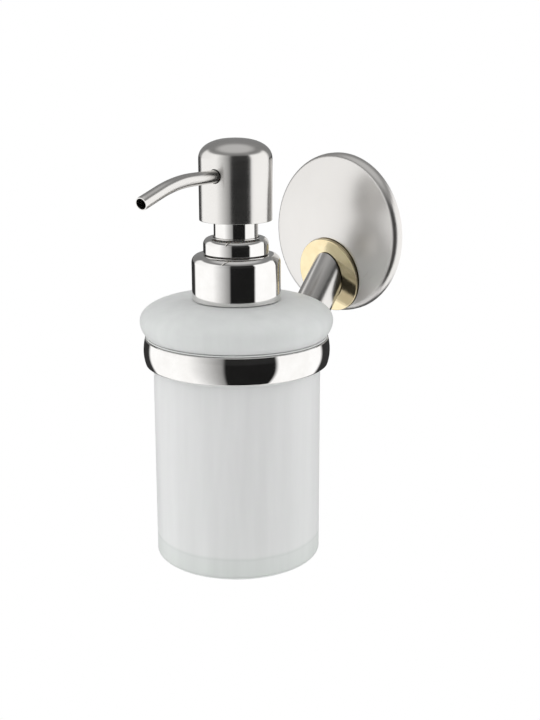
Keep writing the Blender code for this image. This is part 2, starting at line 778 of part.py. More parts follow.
def make_gasket(shop):
    """Flat rubber washer under the pump's flange."""
    profile = [
        (MOUTH_RADIUS + GAP, MOUTH_TOP + GAP + GASKET_THICKNESS),
        (FLANGE_RADIUS, MOUTH_TOP + GAP + GASKET_THICKNESS),
        (FLANGE_RADIUS, MOUTH_TOP + GAP),
        (MOUTH_RADIUS + GAP, MOUTH_TOP + GAP),
    ]
    return shop.turned("neck_gasket", profile, 28, "rubber", closed=True)


def make_stem_guide(shop):
    """Moulded guide in the pump's cup: it keeps the stem upright and stops the piston at the top."""
    outer = COLLAR_RADIUS - COLLAR_WALL - GAP
    shank = CUP_BORE - GAP
    profile = rounded([
        (GUIDE_BORE, COLLAR_TOP - COLLAR_WALL - GAP),
        (outer, COLLAR_TOP - COLLAR_WALL - GAP, COLLAR_CORNER - COLLAR_WALL),
        (outer, CLOSURE_TOP + 2.0 * GAP),
        (shank, CLOSURE_TOP + 2.0 * GAP),
        (shank, CUP_FLOOR + GAP),
        (STEM_RADIUS + GAP, CUP_FLOOR + GAP),
        (STEM_RADIUS + GAP, CUP_FLOOR + GUIDE_FLOOR),
        (GUIDE_BORE, CUP_FLOOR + GUIDE_FLOOR),
    ], steps=2)
    return shop.turned("stem_guide", profile, 28, "white", closed=True)


def make_guide_collar(shop):
    """Polished metal cap over the guide."""
    inner = COLLAR_RADIUS - COLLAR_WALL
    profile = rounded([
        (SLEEVE_RADIUS + SLEEVE_AIR, COLLAR_TOP),
        (COLLAR_RADIUS, COLLAR_TOP, COLLAR_CORNER),
        (COLLAR_RADIUS, CLOSURE_TOP + GAP),
        (inner, CLOSURE_TOP + GAP),
        (inner, COLLAR_TOP - COLLAR_WALL, COLLAR_CORNER - COLLAR_WALL),
        (SLEEVE_RADIUS + SLEEVE_AIR, COLLAR_TOP - COLLAR_WALL),
    ], steps=2)
    return shop.turned("guide_collar", profile, MEDIUM_STEPS, "polished", closed=True)


def make_dip_tube(shop):
    """Clear tube that draws soap from the bottom of the bottle."""
    top = TUBE_SOCKET_ROOF - GAP
    profile = [
        (DUCT_RADIUS, top),
        (DIP_RADIUS, top),
        (DIP_RADIUS, DIP_BOTTOM),
        (DUCT_RADIUS, DIP_BOTTOM),
    ]
    return shop.turned("dip_tube", profile, 16, "clear", closed=True)


def make_spring(shop):
    """Return spring under the piston; its end turns lie closer together."""
    top = PISTON_BOTTOM - GAP - SPRING_WIRE
    bottom = SPRING_BOTTOM + SPRING_WIRE
    per_turn = 10
    count = SPRING_TURNS * per_turn
    points = []
    for index in range(count + 1):
        part = index / count
        eased = part - math.sin(2.0 * math.pi * part) * 0.07
        angle = 2.0 * math.pi * SPRING_TURNS * part
        points.append((
            SPRING_RADIUS * math.cos(angle),
            SPRING_RADIUS * math.sin(angle),
            bottom + (top - bottom) * eased,
        ))
    return shop.from_curve("pump_spring", points, SPRING_WIRE, 1, "stainless")


def make_piston(shop):
    """Piston with a sealing lip at each end, socketed on the stem."""
    socket = STEM_RADIUS + GAP
    lip = BARREL_BORE - LIP_AIR
    waist = lip - 2.0 * LIP_AIR
    profile = [
        (socket, PISTON_TOP),
        (lip - LIP_AIR, PISTON_TOP),
        (lip, PISTON_TOP - LIP_HEIGHT * 0.3),
        (waist, PISTON_TOP - LIP_HEIGHT),
        (waist, PISTON_BOTTOM + LIP_HEIGHT),
        (lip, PISTON_BOTTOM + LIP_HEIGHT * 0.3),
        (lip - LIP_AIR, PISTON_BOTTOM),
        (STEM_BORE, PISTON_BOTTOM),
        (STEM_BORE, STEM_BOTTOM - GAP),
        (socket, STEM_BOTTOM - GAP),
    ]
    return shop.turned("piston", profile, SMALL_STEPS, "white", closed=True)


def make_stem(shop):
    """Hollow rod from the piston to the head, with the outlet ball's seat in its top."""
    profile = [
        (BALL_POCKET_RADIUS, STEM_TOP),
        (STEM_RADIUS, STEM_TOP),
        (STEM_RADIUS, STEM_BOTTOM),
        (STEM_BORE, STEM_BOTTOM),
        (STEM_BORE, STEM_SEAT),
        (BALL_POCKET_RADIUS, STEM_SEAT + BALL_POCKET_RADIUS - STEM_BORE),
    ]
    return shop.turned("stem", profile, SMALL_STEPS, "white", closed=True)


def seat_height(cone_foot_radius, cone_foot_height, ball_radius):
    """Height of a ball's centre over the foot of a 45 degree seat, with a hair of air left."""
    apex = cone_foot_height - cone_foot_radius
    return apex + math.sqrt(2.0) * (ball_radius + SEAT_AIR)


# ---------------------------------------------------------------- head
def spout_direction():
    return Vector((math.sin(SPOUT_YAW), -math.cos(SPOUT_YAW), 0.0))


def spout_points():
    """Straight out of the head, then a gentle downward bend, then straight to the tip."""
    runs = [(SPOUT_ROOT, 0.0), (HEAD_RADIUS, 0.0)]
    bend_steps = 7
    for step in range(bend_steps + 1):
        angle = SPOUT_BEND * step / bend_steps
        run = SPOUT_BEND_START + SPOUT_BEND_RADIUS * math.sin(angle)
        drop = SPOUT_BEND_RADIUS * (1.0 - math.cos(angle))
        runs.append((run, drop))
    run, drop = runs[-1]
    runs.append((run + SPOUT_TIP_RUN, drop + SPOUT_TIP_RUN * math.tan(SPOUT_BEND)))
    ahead = spout_direction()
    points = []
    for run, drop in runs:
        points.append(ahead * run + Vector((0.0, 0.0, SPOUT_Z - drop)))
    return points


def spout_hole(shop, name):
    ahead = spout_direction()
    level = Vector((0.0, 0.0, SPOUT_Z))
    return shop.rod(
        name, level, level + ahead * (HEAD_RADIUS + CUT / 2.0), SPOUT_RADIUS + GAP, 16, None,
    )


def make_head_shell(shop):
    """Brushed metal cap that the hand presses: straight sides and a flattened dome."""
    outer = superellipse(0.0, HEAD_SHOULDER, HEAD_RADIUS, HEAD_TOP - HEAD_SHOULDER, HEAD_POWER, 6)
    inner_radius = HEAD_RADIUS - HEAD_WALL
    inner_top = HEAD_TOP - HEAD_WALL - HEAD_SHOULDER
    inner = superellipse(0.0, HEAD_SHOULDER, inner_radius, inner_top, HEAD_POWER, 4)
    profile = outer + [(HEAD_RADIUS, HEAD_BOTTOM), (inner_radius, HEAD_BOTTOM)] + inner[::-1]
    shell = shop.turned("head_shell", profile, MEDIUM_STEPS, "satin")
    return shell


def make_head_core(shop):
    """Moulded core inside the head: stem socket, outlet chamber and the spout's seat."""
    socket = STEM_RADIUS + GAP
    profile = rounded([
        (0.0, CORE_TOP),
        (CORE_RADIUS, CORE_TOP, 0.0020),
        (CORE_RADIUS, CORE_BOTTOM),
        (socket, CORE_BOTTOM),
        (socket, STEM_TOP + GAP),
        (CHAMBER_RADIUS, STEM_TOP + GAP),
        (CHAMBER_RADIUS, CHAMBER_TOP),
        (0.0, CHAMBER_TOP),
    ], steps=2)
    return shop.turned("head_core", profile, 28, "white")


def make_stem_sleeve(shop):
    """Thin metal tube round the stem, seen between the head and the upper collar."""
    inner = SLEEVE_RADIUS - SLEEVE_WALL
    profile = [
        (inner, CORE_BOTTOM - GAP),
        (SLEEVE_RADIUS, CORE_BOTTOM - GAP),
        (SLEEVE_RADIUS, SLEEVE_BOTTOM),
        (inner, SLEEVE_BOTTOM),
    ]
    return shop.turned("stem_sleeve", profile, MEDIUM_STEPS, "polished", closed=True)


def make_spout(shop):
    """Thin bent tube, open at both ends: an open skin given its wall by Solidify."""
    spout = shop.from_curve("spout", spout_points(), SPOUT_RADIUS, 3, "satin", caps=False)
    wall = spout.modifiers.new("wall", "SOLIDIFY")
    wall.thickness = SPOUT_WALL
    wall.offset = -1.0
    wall.use_rim = True
    return spout


# ---------------------------------------------------------------- assembly
def build_wall_mount(shop, mount):
    pieces = [
        make_wall_plate(shop),
        make_brass_disc(shop),
        make_bracket(shop),
        make_bracket_screw(shop, "left", -BRACKET_SCREW_X),
        make_bracket_screw(shop, "right", BRACKET_SCREW_X),
        make_grub_screw(shop),
        make_arm_screw(shop),
        make_arm(shop),
        make_holder_ring(shop),
        make_ring_screw(shop),
        make_ring_liner(shop),
    ]
    for piece in pieces:
        piece.parent = mount


def build_bottle_side(shop, mount):
    """Everything that lifts out of the ring: each empty stands for one motion, on its own axis."""
    axis = empty(shop, "bottle_axis", (0.0, AXIS_Y, 0.0), mount)
    make_bottle(shop).parent = axis

    pump = empty(shop, "pump_axis", (0.0, 0.0, 0.0), axis)
    makers = (make_pump_cylinder, make_gasket, make_stem_guide, make_guide_collar,
              make_dip_tube, make_spring)
    for maker in makers:
        maker(shop).parent = pump
    inlet_z = seat_height(DUCT_RADIUS, SEAT_BOTTOM, INLET_BALL_RADIUS)
    inlet = shop.ball("inlet_ball", (0.0, 0.0, inlet_z), INLET_BALL_RADIUS, "stainless")
    inlet.parent = pump

    closure = empty(shop, "closure_axis", (0.0, 0.0, 0.0), pump)
    for maker in (make_closure_shell, make_closure_nut):
        maker(shop).parent = closure

    plunger = empty(shop, "plunger_axis", (0.0, 0.0, 0.0), pump)
    for maker in (make_piston, make_stem):
        maker(shop).parent = plunger
    outlet_z = seat_height(STEM_BORE, STEM_SEAT, OUTLET_BALL_RADIUS)
    outlet = shop.ball("outlet_ball", (0.0, 0.0, outlet_z), OUTLET_BALL_RADIUS, "stainless")
    outlet.parent = plunger

    head = empty(shop, "head_axis", (0.0, 0.0, 0.0), plunger)
    shell = make_head_shell(shop)
    core = make_head_core(shop)
    for piece in (shell, core):
        piece.parent = head
        hole = spout_hole(shop, piece.name + "_spout_hole")
        hole.parent = head
        boolean(piece, hole)
    for maker in (make_stem_sleeve, make_spout):
        maker(shop).parent = head


def main():
    clear_scene()
    shop = Workshop()
    mount = empty(shop, "wall_origin", (0.0, 0.0, 0.0))
    build_wall_mount(shop, mount)
    build_bottle_side(shop, mount)
    bpy.context.view_layer.update()


main()
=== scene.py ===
# %% [markdown]
# # Wall mounted soap dispenser: the looks
# A frosted glass bottle hangs by its shoulder in a polished ring. A sloping bar carries the ring from
# a brass disc on a round, satin nickel rosette. A hand pump with a brushed head closes the bottle.
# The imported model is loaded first. It fixes every size and place, and nothing here changes it.

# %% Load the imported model
import math

import bmesh
import bpy
import numpy as np
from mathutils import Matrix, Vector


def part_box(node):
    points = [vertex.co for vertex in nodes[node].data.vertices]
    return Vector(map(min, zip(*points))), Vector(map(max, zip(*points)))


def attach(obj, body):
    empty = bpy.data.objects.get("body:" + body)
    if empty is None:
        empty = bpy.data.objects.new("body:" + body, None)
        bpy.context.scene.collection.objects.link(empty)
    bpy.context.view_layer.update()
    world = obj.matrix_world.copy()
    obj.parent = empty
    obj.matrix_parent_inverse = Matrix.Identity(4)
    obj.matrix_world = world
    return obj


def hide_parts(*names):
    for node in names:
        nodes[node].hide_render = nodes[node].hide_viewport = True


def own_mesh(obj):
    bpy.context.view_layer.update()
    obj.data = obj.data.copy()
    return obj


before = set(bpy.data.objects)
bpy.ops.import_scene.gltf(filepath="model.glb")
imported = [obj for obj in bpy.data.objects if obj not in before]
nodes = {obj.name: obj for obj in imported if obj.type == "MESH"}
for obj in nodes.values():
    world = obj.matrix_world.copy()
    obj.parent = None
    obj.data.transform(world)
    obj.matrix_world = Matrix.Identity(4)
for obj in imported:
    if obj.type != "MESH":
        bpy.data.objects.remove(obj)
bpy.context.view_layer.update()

# %% [markdown]
# ## Where things are
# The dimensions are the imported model's own, in metres. The wall is the plane Y = 0, and the room is
# on its -Y side. The bottle, the collars and the head share one upright axis, 59.5 mm from the wall.
# The corners of a CAD node's box give heights and radii, so those are read instead of typed.

# %% Heights and radii from the model
AXIS = np.array([0.0, -0.0595])
GAP = 0.0003


def heights(node):
    """Lowest and highest Z of a CAD node."""
    low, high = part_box(node)
    return low.z, high.z


def radius_about_axis(node):
    """Half of a round node's width, which is its radius about the upright axis."""
    low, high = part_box(node)
    return (high.x - low.x) / 2


for name in ("head_shell", "guide_collar", "closure_shell", "glass_bottle", "holder_ring"):
    print(name, "radius %.2f mm" % (radius_about_axis(name) * 1000), "heights", heights(name))

# %% [markdown]
# ## Camera
# The object is seen from its right, 44 degrees round from straight in front, and a little from
# above. The lens is a little long but stands close, so the verticals draw in towards the foot.

# %% Camera
CAMERA_AZIMUTH = math.radians(44.18)
CAMERA_PITCH = math.radians(15.07)

camera_data = bpy.data.cameras.new("camera")
camera_data.lens = 52.75
camera_data.sensor_width = 36.0
camera_data.clip_start = 0.01
camera = bpy.data.objects.new("camera", camera_data)
camera.location = (0.2821, -0.3316, 0.0622)
camera.rotation_euler = (math.pi / 2 - CAMERA_PITCH, 0.0, CAMERA_AZIMUTH)
bpy.context.scene.collection.objects.link(camera)
bpy.context.scene.camera = camera
away = math.hypot(camera.location.x, camera.location.y - AXIS[1])
print("camera stands %.3f m from the bottle's axis" % away)

# %% [markdown]
# ## Light
# Polished metal shows its surroundings, so the studio is drawn first. Two tall white screens stand
# left and right. Between them, where the camera stands, it is dark. That dark gap is the
# black stripe down the front of every collar. Behind the object it is dim, and that draws the thin
# dark outlines of the round parts. The screens are painted on the world by direction: the angle
# round the object picks a brightness from a ramp, one below eye level and one above it. The ceiling
# is dim, so the collars' flat tops are grey. Only mirror rays see the screens. All other light is a
# soft fill, as from a light tent, a little dimmer in front. The camera sees plain white.

# %% World: screens painted by direction
def stops_on(ramp, stops):
    """Puts (position, (r, g, b)) stops on a colour ramp."""
    while len(ramp.elements) > 1:
        ramp.elements.remove(ramp.elements[-1])
    for index, (position, colour) in enumerate(stops):
        element = ramp.elements[0] if index == 0 else ramp.elements.new(position)
        element.position = position
        element.color = (*colour, 1.0)


def round_the_object(degrees_and_levels):
    """Turns (angle from the camera, brightness) pairs into ramp stops from 0 to 1."""
    return [((angle + 180.0) / 360.0, (level, level, level)) for angle, level in degrees_and_levels]


LOW_SCREENS = [(-180, 0.03), (-134, 0.03), (-127, 1.0), (-60, 1.0), (-40, 0.66), (-16, 0.28), (-12, 0.010),
               (48, 0.010), (53, 1.0), (124, 1.0), (131, 0.03), (180, 0.03)]
HIGH_SCREENS = [(-180, 0.20), (-134, 0.20), (-124, 0.9), (-60, 1.0), (-40, 0.62), (-16, 0.25), (-12, 0.02),
                (48, 0.02), (53, 1.0), (120, 1.0), (134, 0.20), (180, 0.20)]
SCREEN_POWER = 1.30
FILL_ROUND = [(-180, 0.85), (-70, 1.0), (15, 0.60), (95, 1.0), (180, 0.85)]
FILL_POWER = 1.13

world = bpy.data.worlds.new("studio")
bpy.context.scene.world = world
world.use_nodes = True
tree = world.node_tree
tree.nodes.clear()


def node(kind, **settings):
    """A node in the tree at hand, with its settings."""
    made = tree.nodes.new(kind)
    for key, value in settings.items():
        setattr(made, key, value)
    return made


def feed(source, target):
    tree.links.new(source, target)


where = node("ShaderNodeTexCoord")
turn = node("ShaderNodeMapping", vector_type="VECTOR")
turn.inputs["Rotation"].default_value[2] = math.pi / 2 - CAMERA_AZIMUTH
feed(where.outputs["Generated"], turn.inputs["Vector"])
split = node("ShaderNodeSeparateXYZ")
feed(turn.outputs["Vector"], split.inputs["Vector"])
angle = node("ShaderNodeMath", operation="ARCTAN2")
feed(split.outputs["Y"], angle.inputs[0])
feed(split.outputs["X"], angle.inputs[1])
share = node("ShaderNodeMapRange")
share.inputs["From Min"].default_value = -math.pi
share.inputs["From Max"].default_value = math.pi
feed(angle.outputs["Value"], share.inputs["Value"])


def screens(degrees_and_levels):
    """A ramp of brightness round the object, read at the direction's angle."""
    ramp = node("ShaderNodeValToRGB")
    stops_on(ramp.color_ramp, round_the_object(degrees_and_levels))
    feed(share.outputs["Result"], ramp.inputs["Fac"])
    return ramp.outputs["Color"]


def by_height(low, high):
    """0 below the first height on the sky's unit sphere, 1 above the second, smooth between."""
    rise = node("ShaderNodeMapRange", interpolation_type="SMOOTHSTEP")
    rise.inputs["From Min"].default_value = low
    rise.inputs["From Max"].default_value = high
    feed(split.outputs["Z"], rise.inputs["Value"])
    return rise.outputs["Result"]


def mixed(share_socket, first, second):
    mix = node("ShaderNodeMix", data_type="RGBA")
    feed(share_socket, mix.inputs["Factor"])
    for value, socket in ((first, mix.inputs["A"]), (second, mix.inputs["B"])):
        if isinstance(value, float):
            socket.default_value = (value, value, value, 1.0)
        else:
            feed(value, socket)
    return mix.outputs["Result"]


ground = mixed(by_height(-0.97, -0.88), 0.05, screens(LOW_SCREENS))
above = mixed(by_height(-0.02, 0.06), ground, screens(HIGH_SCREENS))
upper = mixed(by_height(0.50, 0.64), above, 0.22)
ceiling = mixed(by_height(0.74, 0.92), upper, 0.50)
studio = node("ShaderNodeBackground")
studio.inputs["Strength"].default_value = SCREEN_POWER
feed(ceiling, studio.inputs["Color"])
plain = node("ShaderNodeBackground")
plain.inputs["Color"].default_value = (1.0, 1.0, 1.0, 1.0)
rays = node("ShaderNodeLightPath")
fill = node("ShaderNodeBackground")
feed(screens(FILL_ROUND), fill.inputs["Color"])
fill.inputs["Strength"].default_value = FILL_POWER
mirrored = node("ShaderNodeMixShader")
feed(rays.outputs["Is Glossy Ray"], mirrored.inputs["Fac"])
feed(fill.outputs["Background"], mirrored.inputs[1])
feed(studio.outputs["Background"], mirrored.inputs[2])
either = node("ShaderNodeMixShader")
feed(rays.outputs["Is Camera Ray"], either.inputs["Fac"])
feed(mirrored.outputs["Shader"], either.inputs[1])
feed(plain.outputs["Background"], either.inputs[2])
output = node("ShaderNodeOutputWorld")
feed(either.outputs["Shader"], output.inputs["Surface"])
bpy.context.scene.view_settings.view_transform = "Standard"
print("world: two screens, a dark front, a dim back")

# %% [markdown]
# ## Mesh helpers
# Every visible round part is a surface of revolution, so one helper turns a profile round an axis.
# The profile is a short list of corners, and a corner may carry a rounding radius. Straight runs get
# a point close to each end. Those keep the smooth shading of a small rounding from spreading over
# the flat beside it, which would bend the reflections.

# %% Profile from corners
def profile_of(corners, arc_steps=8, edge=0.00012, runs=5, closed=False):
    """A dense profile from (radius, height) or (radius, height, rounding) corners.

    A rounded corner becomes an arc that touches both of its sides. Its middle lies on the line that
    halves the corner, and each side gives up rounding / tan(half the corner's angle).
    """
    count = len(corners)
    spots = np.array([corner[:2] for corner in corners], float)
    pieces = []
    for index, corner in enumerate(corners):
        rounding = corner[2] if len(corner) > 2 else 0.0
        ends = index in (0, count - 1) and not closed
        if rounding == 0.0 or ends:
            pieces.append(spots[index][None])
            continue
        here, before, after = spots[index], spots[index - 1], spots[(index + 1) % count]
        a = (before - here) / np.linalg.norm(before - here)
        b = (after - here) / np.linalg.norm(after - here)
        half = math.acos(np.clip(a @ b, -1.0, 1.0)) / 2
        middle = here + (a + b) / np.linalg.norm(a + b) * rounding / math.sin(half)
        first = here + a * rounding / math.tan(half) - middle
        last = here + b * rounding / math.tan(half) - middle
        swing = math.pi - 2 * half
        t = np.linspace(0.0, 1.0, arc_steps + 1)[:, None]
        arc = (first * np.sin((1 - t) * swing) + last * np.sin(t * swing)) / math.sin(swing)
        pieces.append(middle + arc)
    dense = []
    following = pieces[1:] + (pieces[:1] if closed else [])
    for index, piece in enumerate(pieces):
        dense.append(piece)
        if index < len(following):
            start, end = piece[-1], following[index][0]
            length = np.linalg.norm(end - start)
            if length > 4 * edge:
                t = np.concatenate([[edge / length], np.linspace(0, 1, runs + 1)[1:-1], [1 - edge / length]])
                dense.append(start + (end - start) * t[:, None])
    return np.vstack(dense)


print("a rounded square gives", len(profile_of([(1, 0), (1, 1, 0.2), (0, 1)])), "points")

# %% [markdown]
# The turned surface is a grid: one direction runs along the profile and the other round the axis. A
# point is the centre, plus the radius times the direction of its angle, plus the height along the
# axis. A profile that starts or ends on the axis is closed there with one shared point.

# %% Turn a profile into a mesh
def mesh_object(name, points, faces, smooth_angle=38.0):
    """An object at the origin from points and faces, with outward faces and smooth shading."""
    mesh = bpy.data.meshes.new(name)
    mesh.from_pydata(np.asarray(points, float).tolist(), [], [list(face) for face in faces])
    shape = bmesh.new()
    shape.from_mesh(mesh)
    bmesh.ops.remove_doubles(shape, verts=shape.verts, dist=0.0000005)
    bmesh.ops.recalc_face_normals(shape, faces=shape.faces)
    shape.to_mesh(mesh)
    shape.free()
    mesh.shade_smooth()
    mesh.set_sharp_from_angle(angle=math.radians(smooth_angle))
    made = bpy.data.objects.new(name, mesh)
    bpy.context.scene.collection.objects.link(made)
    return made


def grid_faces(rows, columns, wrap_rows, wrap_columns=True):
    """Quads of a grid whose points are stored row by row, closed in the directions that wrap."""
    i = np.arange(rows if wrap_rows else rows - 1)
    j = np.arange(columns if wrap_columns else columns - 1)
    i, j = np.meshgrid(i, j, indexing="ij")
    i, j = i.ravel(), j.ravel()
    down, right = (i + 1) % rows, (j + 1) % columns
    return np.stack([i * columns + j, down * columns + j, down * columns + right, i * columns + right], 1)


UPRIGHT = (np.array([1.0, 0, 0]), np.array([0, 1.0, 0]), np.array([0, 0, 1.0]))


def turned(name, profile, centre, axes=UPRIGHT, steps=160, closed=False):
    """Surface of revolution: centre + radius * (cos a, sin a) across the axis + height along it."""
    angles = np.linspace(0.0, 2 * math.pi, steps, endpoint=False)
    across, beside, along = axes
    radius, height = profile[:, 0, None, None], profile[:, 1, None, None]
    ring = np.cos(angles)[:, None] * across + np.sin(angles)[:, None] * beside
    points = np.asarray(centre) + radius * ring[None] + height * along
    faces = grid_faces(len(profile), steps, closed)
    made = mesh_object(name, points.reshape(-1, 3), faces)
    print(name, "has", len(made.data.polygons), "faces")
    return made


def on_axis(height=0.0):
    """A point on the bottle's upright axis."""
    return np.array([AXIS[0], AXIS[1], height])

# %% [markdown]
# Holes are cut with a Boolean and applied at once, so that each piece ends as one plain mesh. The
# cutter is a rod, turned by the same helper. Edges sharper than the smoothing angle stay crisp.

# %% Cut holes in a piece
def frame_of(direction):
    """Two directions across a given one, and that one, all of length 1."""
    along = np.asarray(direction, float) / np.linalg.norm(direction)
    across = np.cross(along, [0.0, 0.0, 1.0])
    if np.linalg.norm(across) < 1e-6:
        across = np.array([1.0, 0.0, 0.0])
    across = across / np.linalg.norm(across)
    return across, np.cross(along, across), along


def rod(name, start, end, radius, end_radius=None, steps=64):
    """A straight bar or cone between two points, with flat ends."""
    start, end = np.asarray(start, float), np.asarray(end, float)
    length = np.linalg.norm(end - start)
    tip = radius if end_radius is None else end_radius
    profile = np.array([(0.0, 0.0), (radius, 0.0), (tip, length), (0.0, length)])
    return turned(name, profile, start, frame_of(end - start), steps)


def cut(piece, *cutters):
    """Takes the cutters away from the piece, and removes them from the scene."""
    for cutter in cutters:
        step = piece.modifiers.new(cutter.name, "BOOLEAN")
        step.operation = "DIFFERENCE"
        step.solver = "EXACT"
        step.object = cutter
    bpy.context.view_layer.update()
    evaluated = piece.evaluated_get(bpy.context.evaluated_depsgraph_get())
    mesh = bpy.data.meshes.new_from_object(evaluated)
    mesh.name = piece.name
    piece.modifiers.clear()
    piece.data = mesh
    for cutter in cutters:
        bpy.data.objects.remove(cutter)
    mesh.shade_smooth()
    mesh.set_sharp_from_angle(angle=math.radians(38.0))
    print(piece.name, "after its holes has", len(mesh.polygons), "faces")
    return piece


def superellipse(centre, base, width, rise, power, steps=24):
    """A rounded shoulder: |x/width|^power + |y/rise|^power = 1, from its top down to its side."""
    t = np.linspace(math.pi / 2, 0.0, steps + 1)
    cosine, sine = np.clip(np.cos(t), 0, 1), np.clip(np.sin(t), 0, 1)
    return np.stack([centre + width * cosine ** (2 / power), base + rise * sine ** (2 / power)], 1)


def runs_between(start, end, count=8, edge=0.00012):
    """Points of a straight side, with one close to each end."""
    start, end = np.asarray(start, float), np.asarray(end, float)
    share = edge / np.linalg.norm(end - start)
    t = np.concatenate([[share], np.linspace(0, 1, count + 1)[1:-1], [1 - share]])[:, None]
    return start + (end - start) * t


# %% [markdown]
# ## Rosette
# The rosette is a cast and spun cover, a low dome with a rolled rim, hollow behind. Its face is a
# shallow parabola. The rim is a quarter of an ellipse that starts with the dome's own slope, so that
# no line shows where they meet. It is turned about an axis that points out of the wall.

# %% Rosette
OUT = np.array([0.0, -1.0, 0.0])
ROSETTE_RADIUS, FACE_RADIUS = 0.0323, 0.0303
CROWN, FACE_EDGE, BACK = 0.0082, 0.0044, 0.0001
HOLLOW_RADIUS, HOLLOW_EDGE, HOLLOW_CROWN = 0.0268, 0.0019, 0.0062
GRUB_DEPTH, GRUB_HOLE, GRUB_START, GRUB_END = 0.0019, 0.00155, -0.0250, -0.0340
ARM_SCREW_HOLE, ARM_SCREW_END = 0.0022, 0.0063
PAST = 0.010  # how far a cutter stands past the face it opens
DISC_TILT = math.radians(11.2)
DISC_CENTRE = np.array([0.0, -0.0071, -0.0172])
DISC_RADIUS, DISC_THICKNESS, DISC_RISE = 0.0154, 0.0026, 0.0003
DISC_OUT = np.array([0.0, -math.cos(DISC_TILT), -math.sin(DISC_TILT)])


def rosette_profile():
    """Depth = crown - drop * (radius / face radius)^2 over the face.

    The rim follows as a quarter of an ellipse, and then the hollow back.
    """
    radius = np.linspace(0.0, FACE_RADIUS, 40)
    drop = CROWN - FACE_EDGE
    face = np.stack([radius, CROWN - drop * (radius / FACE_RADIUS) ** 2], 1)
    slope = 2 * drop / FACE_RADIUS
    foot = BACK + 0.0010
    width, height = ROSETTE_RADIUS - FACE_RADIUS, FACE_EDGE - foot
    start = math.atan(slope * width / height)
    width, height = width / (1 - math.sin(start)), height / math.cos(start)
    t = np.linspace(start, math.pi / 2, 22)[1:]
    rim = np.stack([ROSETTE_RADIUS - width + width * np.sin(t), foot + height * np.cos(t)], 1)
    back = [(ROSETTE_RADIUS, BACK), (HOLLOW_RADIUS, BACK), (HOLLOW_RADIUS, HOLLOW_EDGE), (0.0, HOLLOW_CROWN)]
    return np.vstack([face, rim, back])


def before_disc(out):
    """A point on the brass disc's axis, that far in front of its face."""
    return DISC_CENTRE + DISC_OUT * out


rosette = turned("rosette", rosette_profile(), (0, 0, 0), frame_of(OUT), 256)
cut(
    rosette,
    rod("disc_pocket", before_disc(-DISC_THICKNESS - GAP), before_disc(PAST), DISC_RADIUS + GAP, steps=160),
    rod("arm_screw_hole", before_disc(-PAST), before_disc(0.0), ARM_SCREW_HOLE),
    rod("grub_hole", (GRUB_START, -GRUB_DEPTH, 0.0), (GRUB_END, -GRUB_DEPTH, 0.0), GRUB_HOLE),
)
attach(rosette, "wall_mount")
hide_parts("wall_plate")

# %% [markdown]
# ## Brass disc
# A thick washer of polished brass lies in a pocket low on the dome, and is tipped to look down. Its
# face is very slightly crowned and its edge is broken by a small rounding, which catches the light.

# %% Brass disc
SHANK = 0.0022
disc_profile = profile_of([
    (SHANK, DISC_RISE), (DISC_RADIUS * 0.6, DISC_RISE * 0.6), (DISC_RADIUS, 0.0, 0.00035),
    (DISC_RADIUS, -DISC_THICKNESS, 0.0002), (SHANK, -DISC_THICKNESS),
], closed=True)
disc = turned("brass_washer", disc_profile, DISC_CENTRE, frame_of(DISC_OUT), 192, closed=True)
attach(disc, "wall_mount")
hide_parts("brass_disc")

# %% [markdown]
# ## Arm
# The arm is a round bar that slopes down at 52 degrees. Its upper end is cut to the disc's face and
# its lower end to the ring's pad. Each line along the bar runs from one cut to the other, so both
# ends come from a formula: a plane above, a cylinder and a level plane below.

# %% Arm
ARM_SLOPE = math.radians(52.0)
ARM_RADIUS = 0.0076
ARM_DOWN = np.array([0.0, -math.cos(ARM_SLOPE), -math.sin(ARM_SLOPE)])
ARM_START = np.array([0.0, -0.0070, -0.0165])
PAD_RADIUS, PAD_BOTTOM, PAD_TOP, PAD_HALF_WIDTH = 0.0374, -0.0432, -0.0337, 0.0072
RING_SCREW_Z, RING_SCREW_HOLE = -0.0384, 0.0019


def on_ring_screw(reach):
    """A point on the ring screw's axis, that far behind the bottle's axis."""
    return (0.0, AXIS[1] + reach, RING_SCREW_Z)


def arm_points(steps=96):
    """Points of the bar: side point = start + offset round the bar + slope * distance.

    The distance begins where the line meets the disc's face. It ends where the line meets the pad's
    cylinder, or the level of the pad's lower edge if that comes first.
    """
    angles = np.linspace(0.0, 2 * math.pi, steps, endpoint=False)
    across, beside = frame_of(ARM_DOWN)[:2]
    cap = np.array([0.0, 0.5, 0.9, 0.985, 1.0])
    share = np.concatenate([[0.0, 0.01], np.linspace(0.1, 0.9, 14), [0.99, 1.0]])
    size = np.concatenate([cap[:-1], np.ones(len(share)), cap[::-1][1:]]) * ARM_RADIUS
    along = np.concatenate([np.zeros(len(cap) - 1), share, np.ones(len(cap) - 1)])
    ring = np.cos(angles)[:, None] * across + np.sin(angles)[:, None] * beside
    base = ARM_START + size[:, None, None] * ring[None]
    begin = (DISC_RISE + GAP - (base - DISC_CENTRE) @ DISC_OUT) / (ARM_DOWN @ DISC_OUT)
    reach = AXIS[1] + np.sqrt((PAD_RADIUS + GAP) ** 2 - base[..., 0] ** 2)
    to_pad = (base[..., 1] - reach) / math.cos(ARM_SLOPE)
    to_level = (base[..., 2] - PAD_BOTTOM) / math.sin(ARM_SLOPE)
    end = np.minimum(to_pad, to_level)
    distance = begin + (end - begin) * along[:, None]
    return base + distance[..., None] * ARM_DOWN


points = arm_points()
arm = mesh_object("arm_bar", points.reshape(-1, 3), grid_faces(len(points), points.shape[1], False))
cut(
    arm,
    rod("arm_foot_bore", before_disc(-0.004), before_disc(ARM_SCREW_END), ARM_SCREW_HOLE),
    rod("arm_end_bore", on_ring_screw(0.030), on_ring_screw(0.0404), RING_SCREW_HOLE),
)
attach(arm, "wall_mount")
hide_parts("arm")

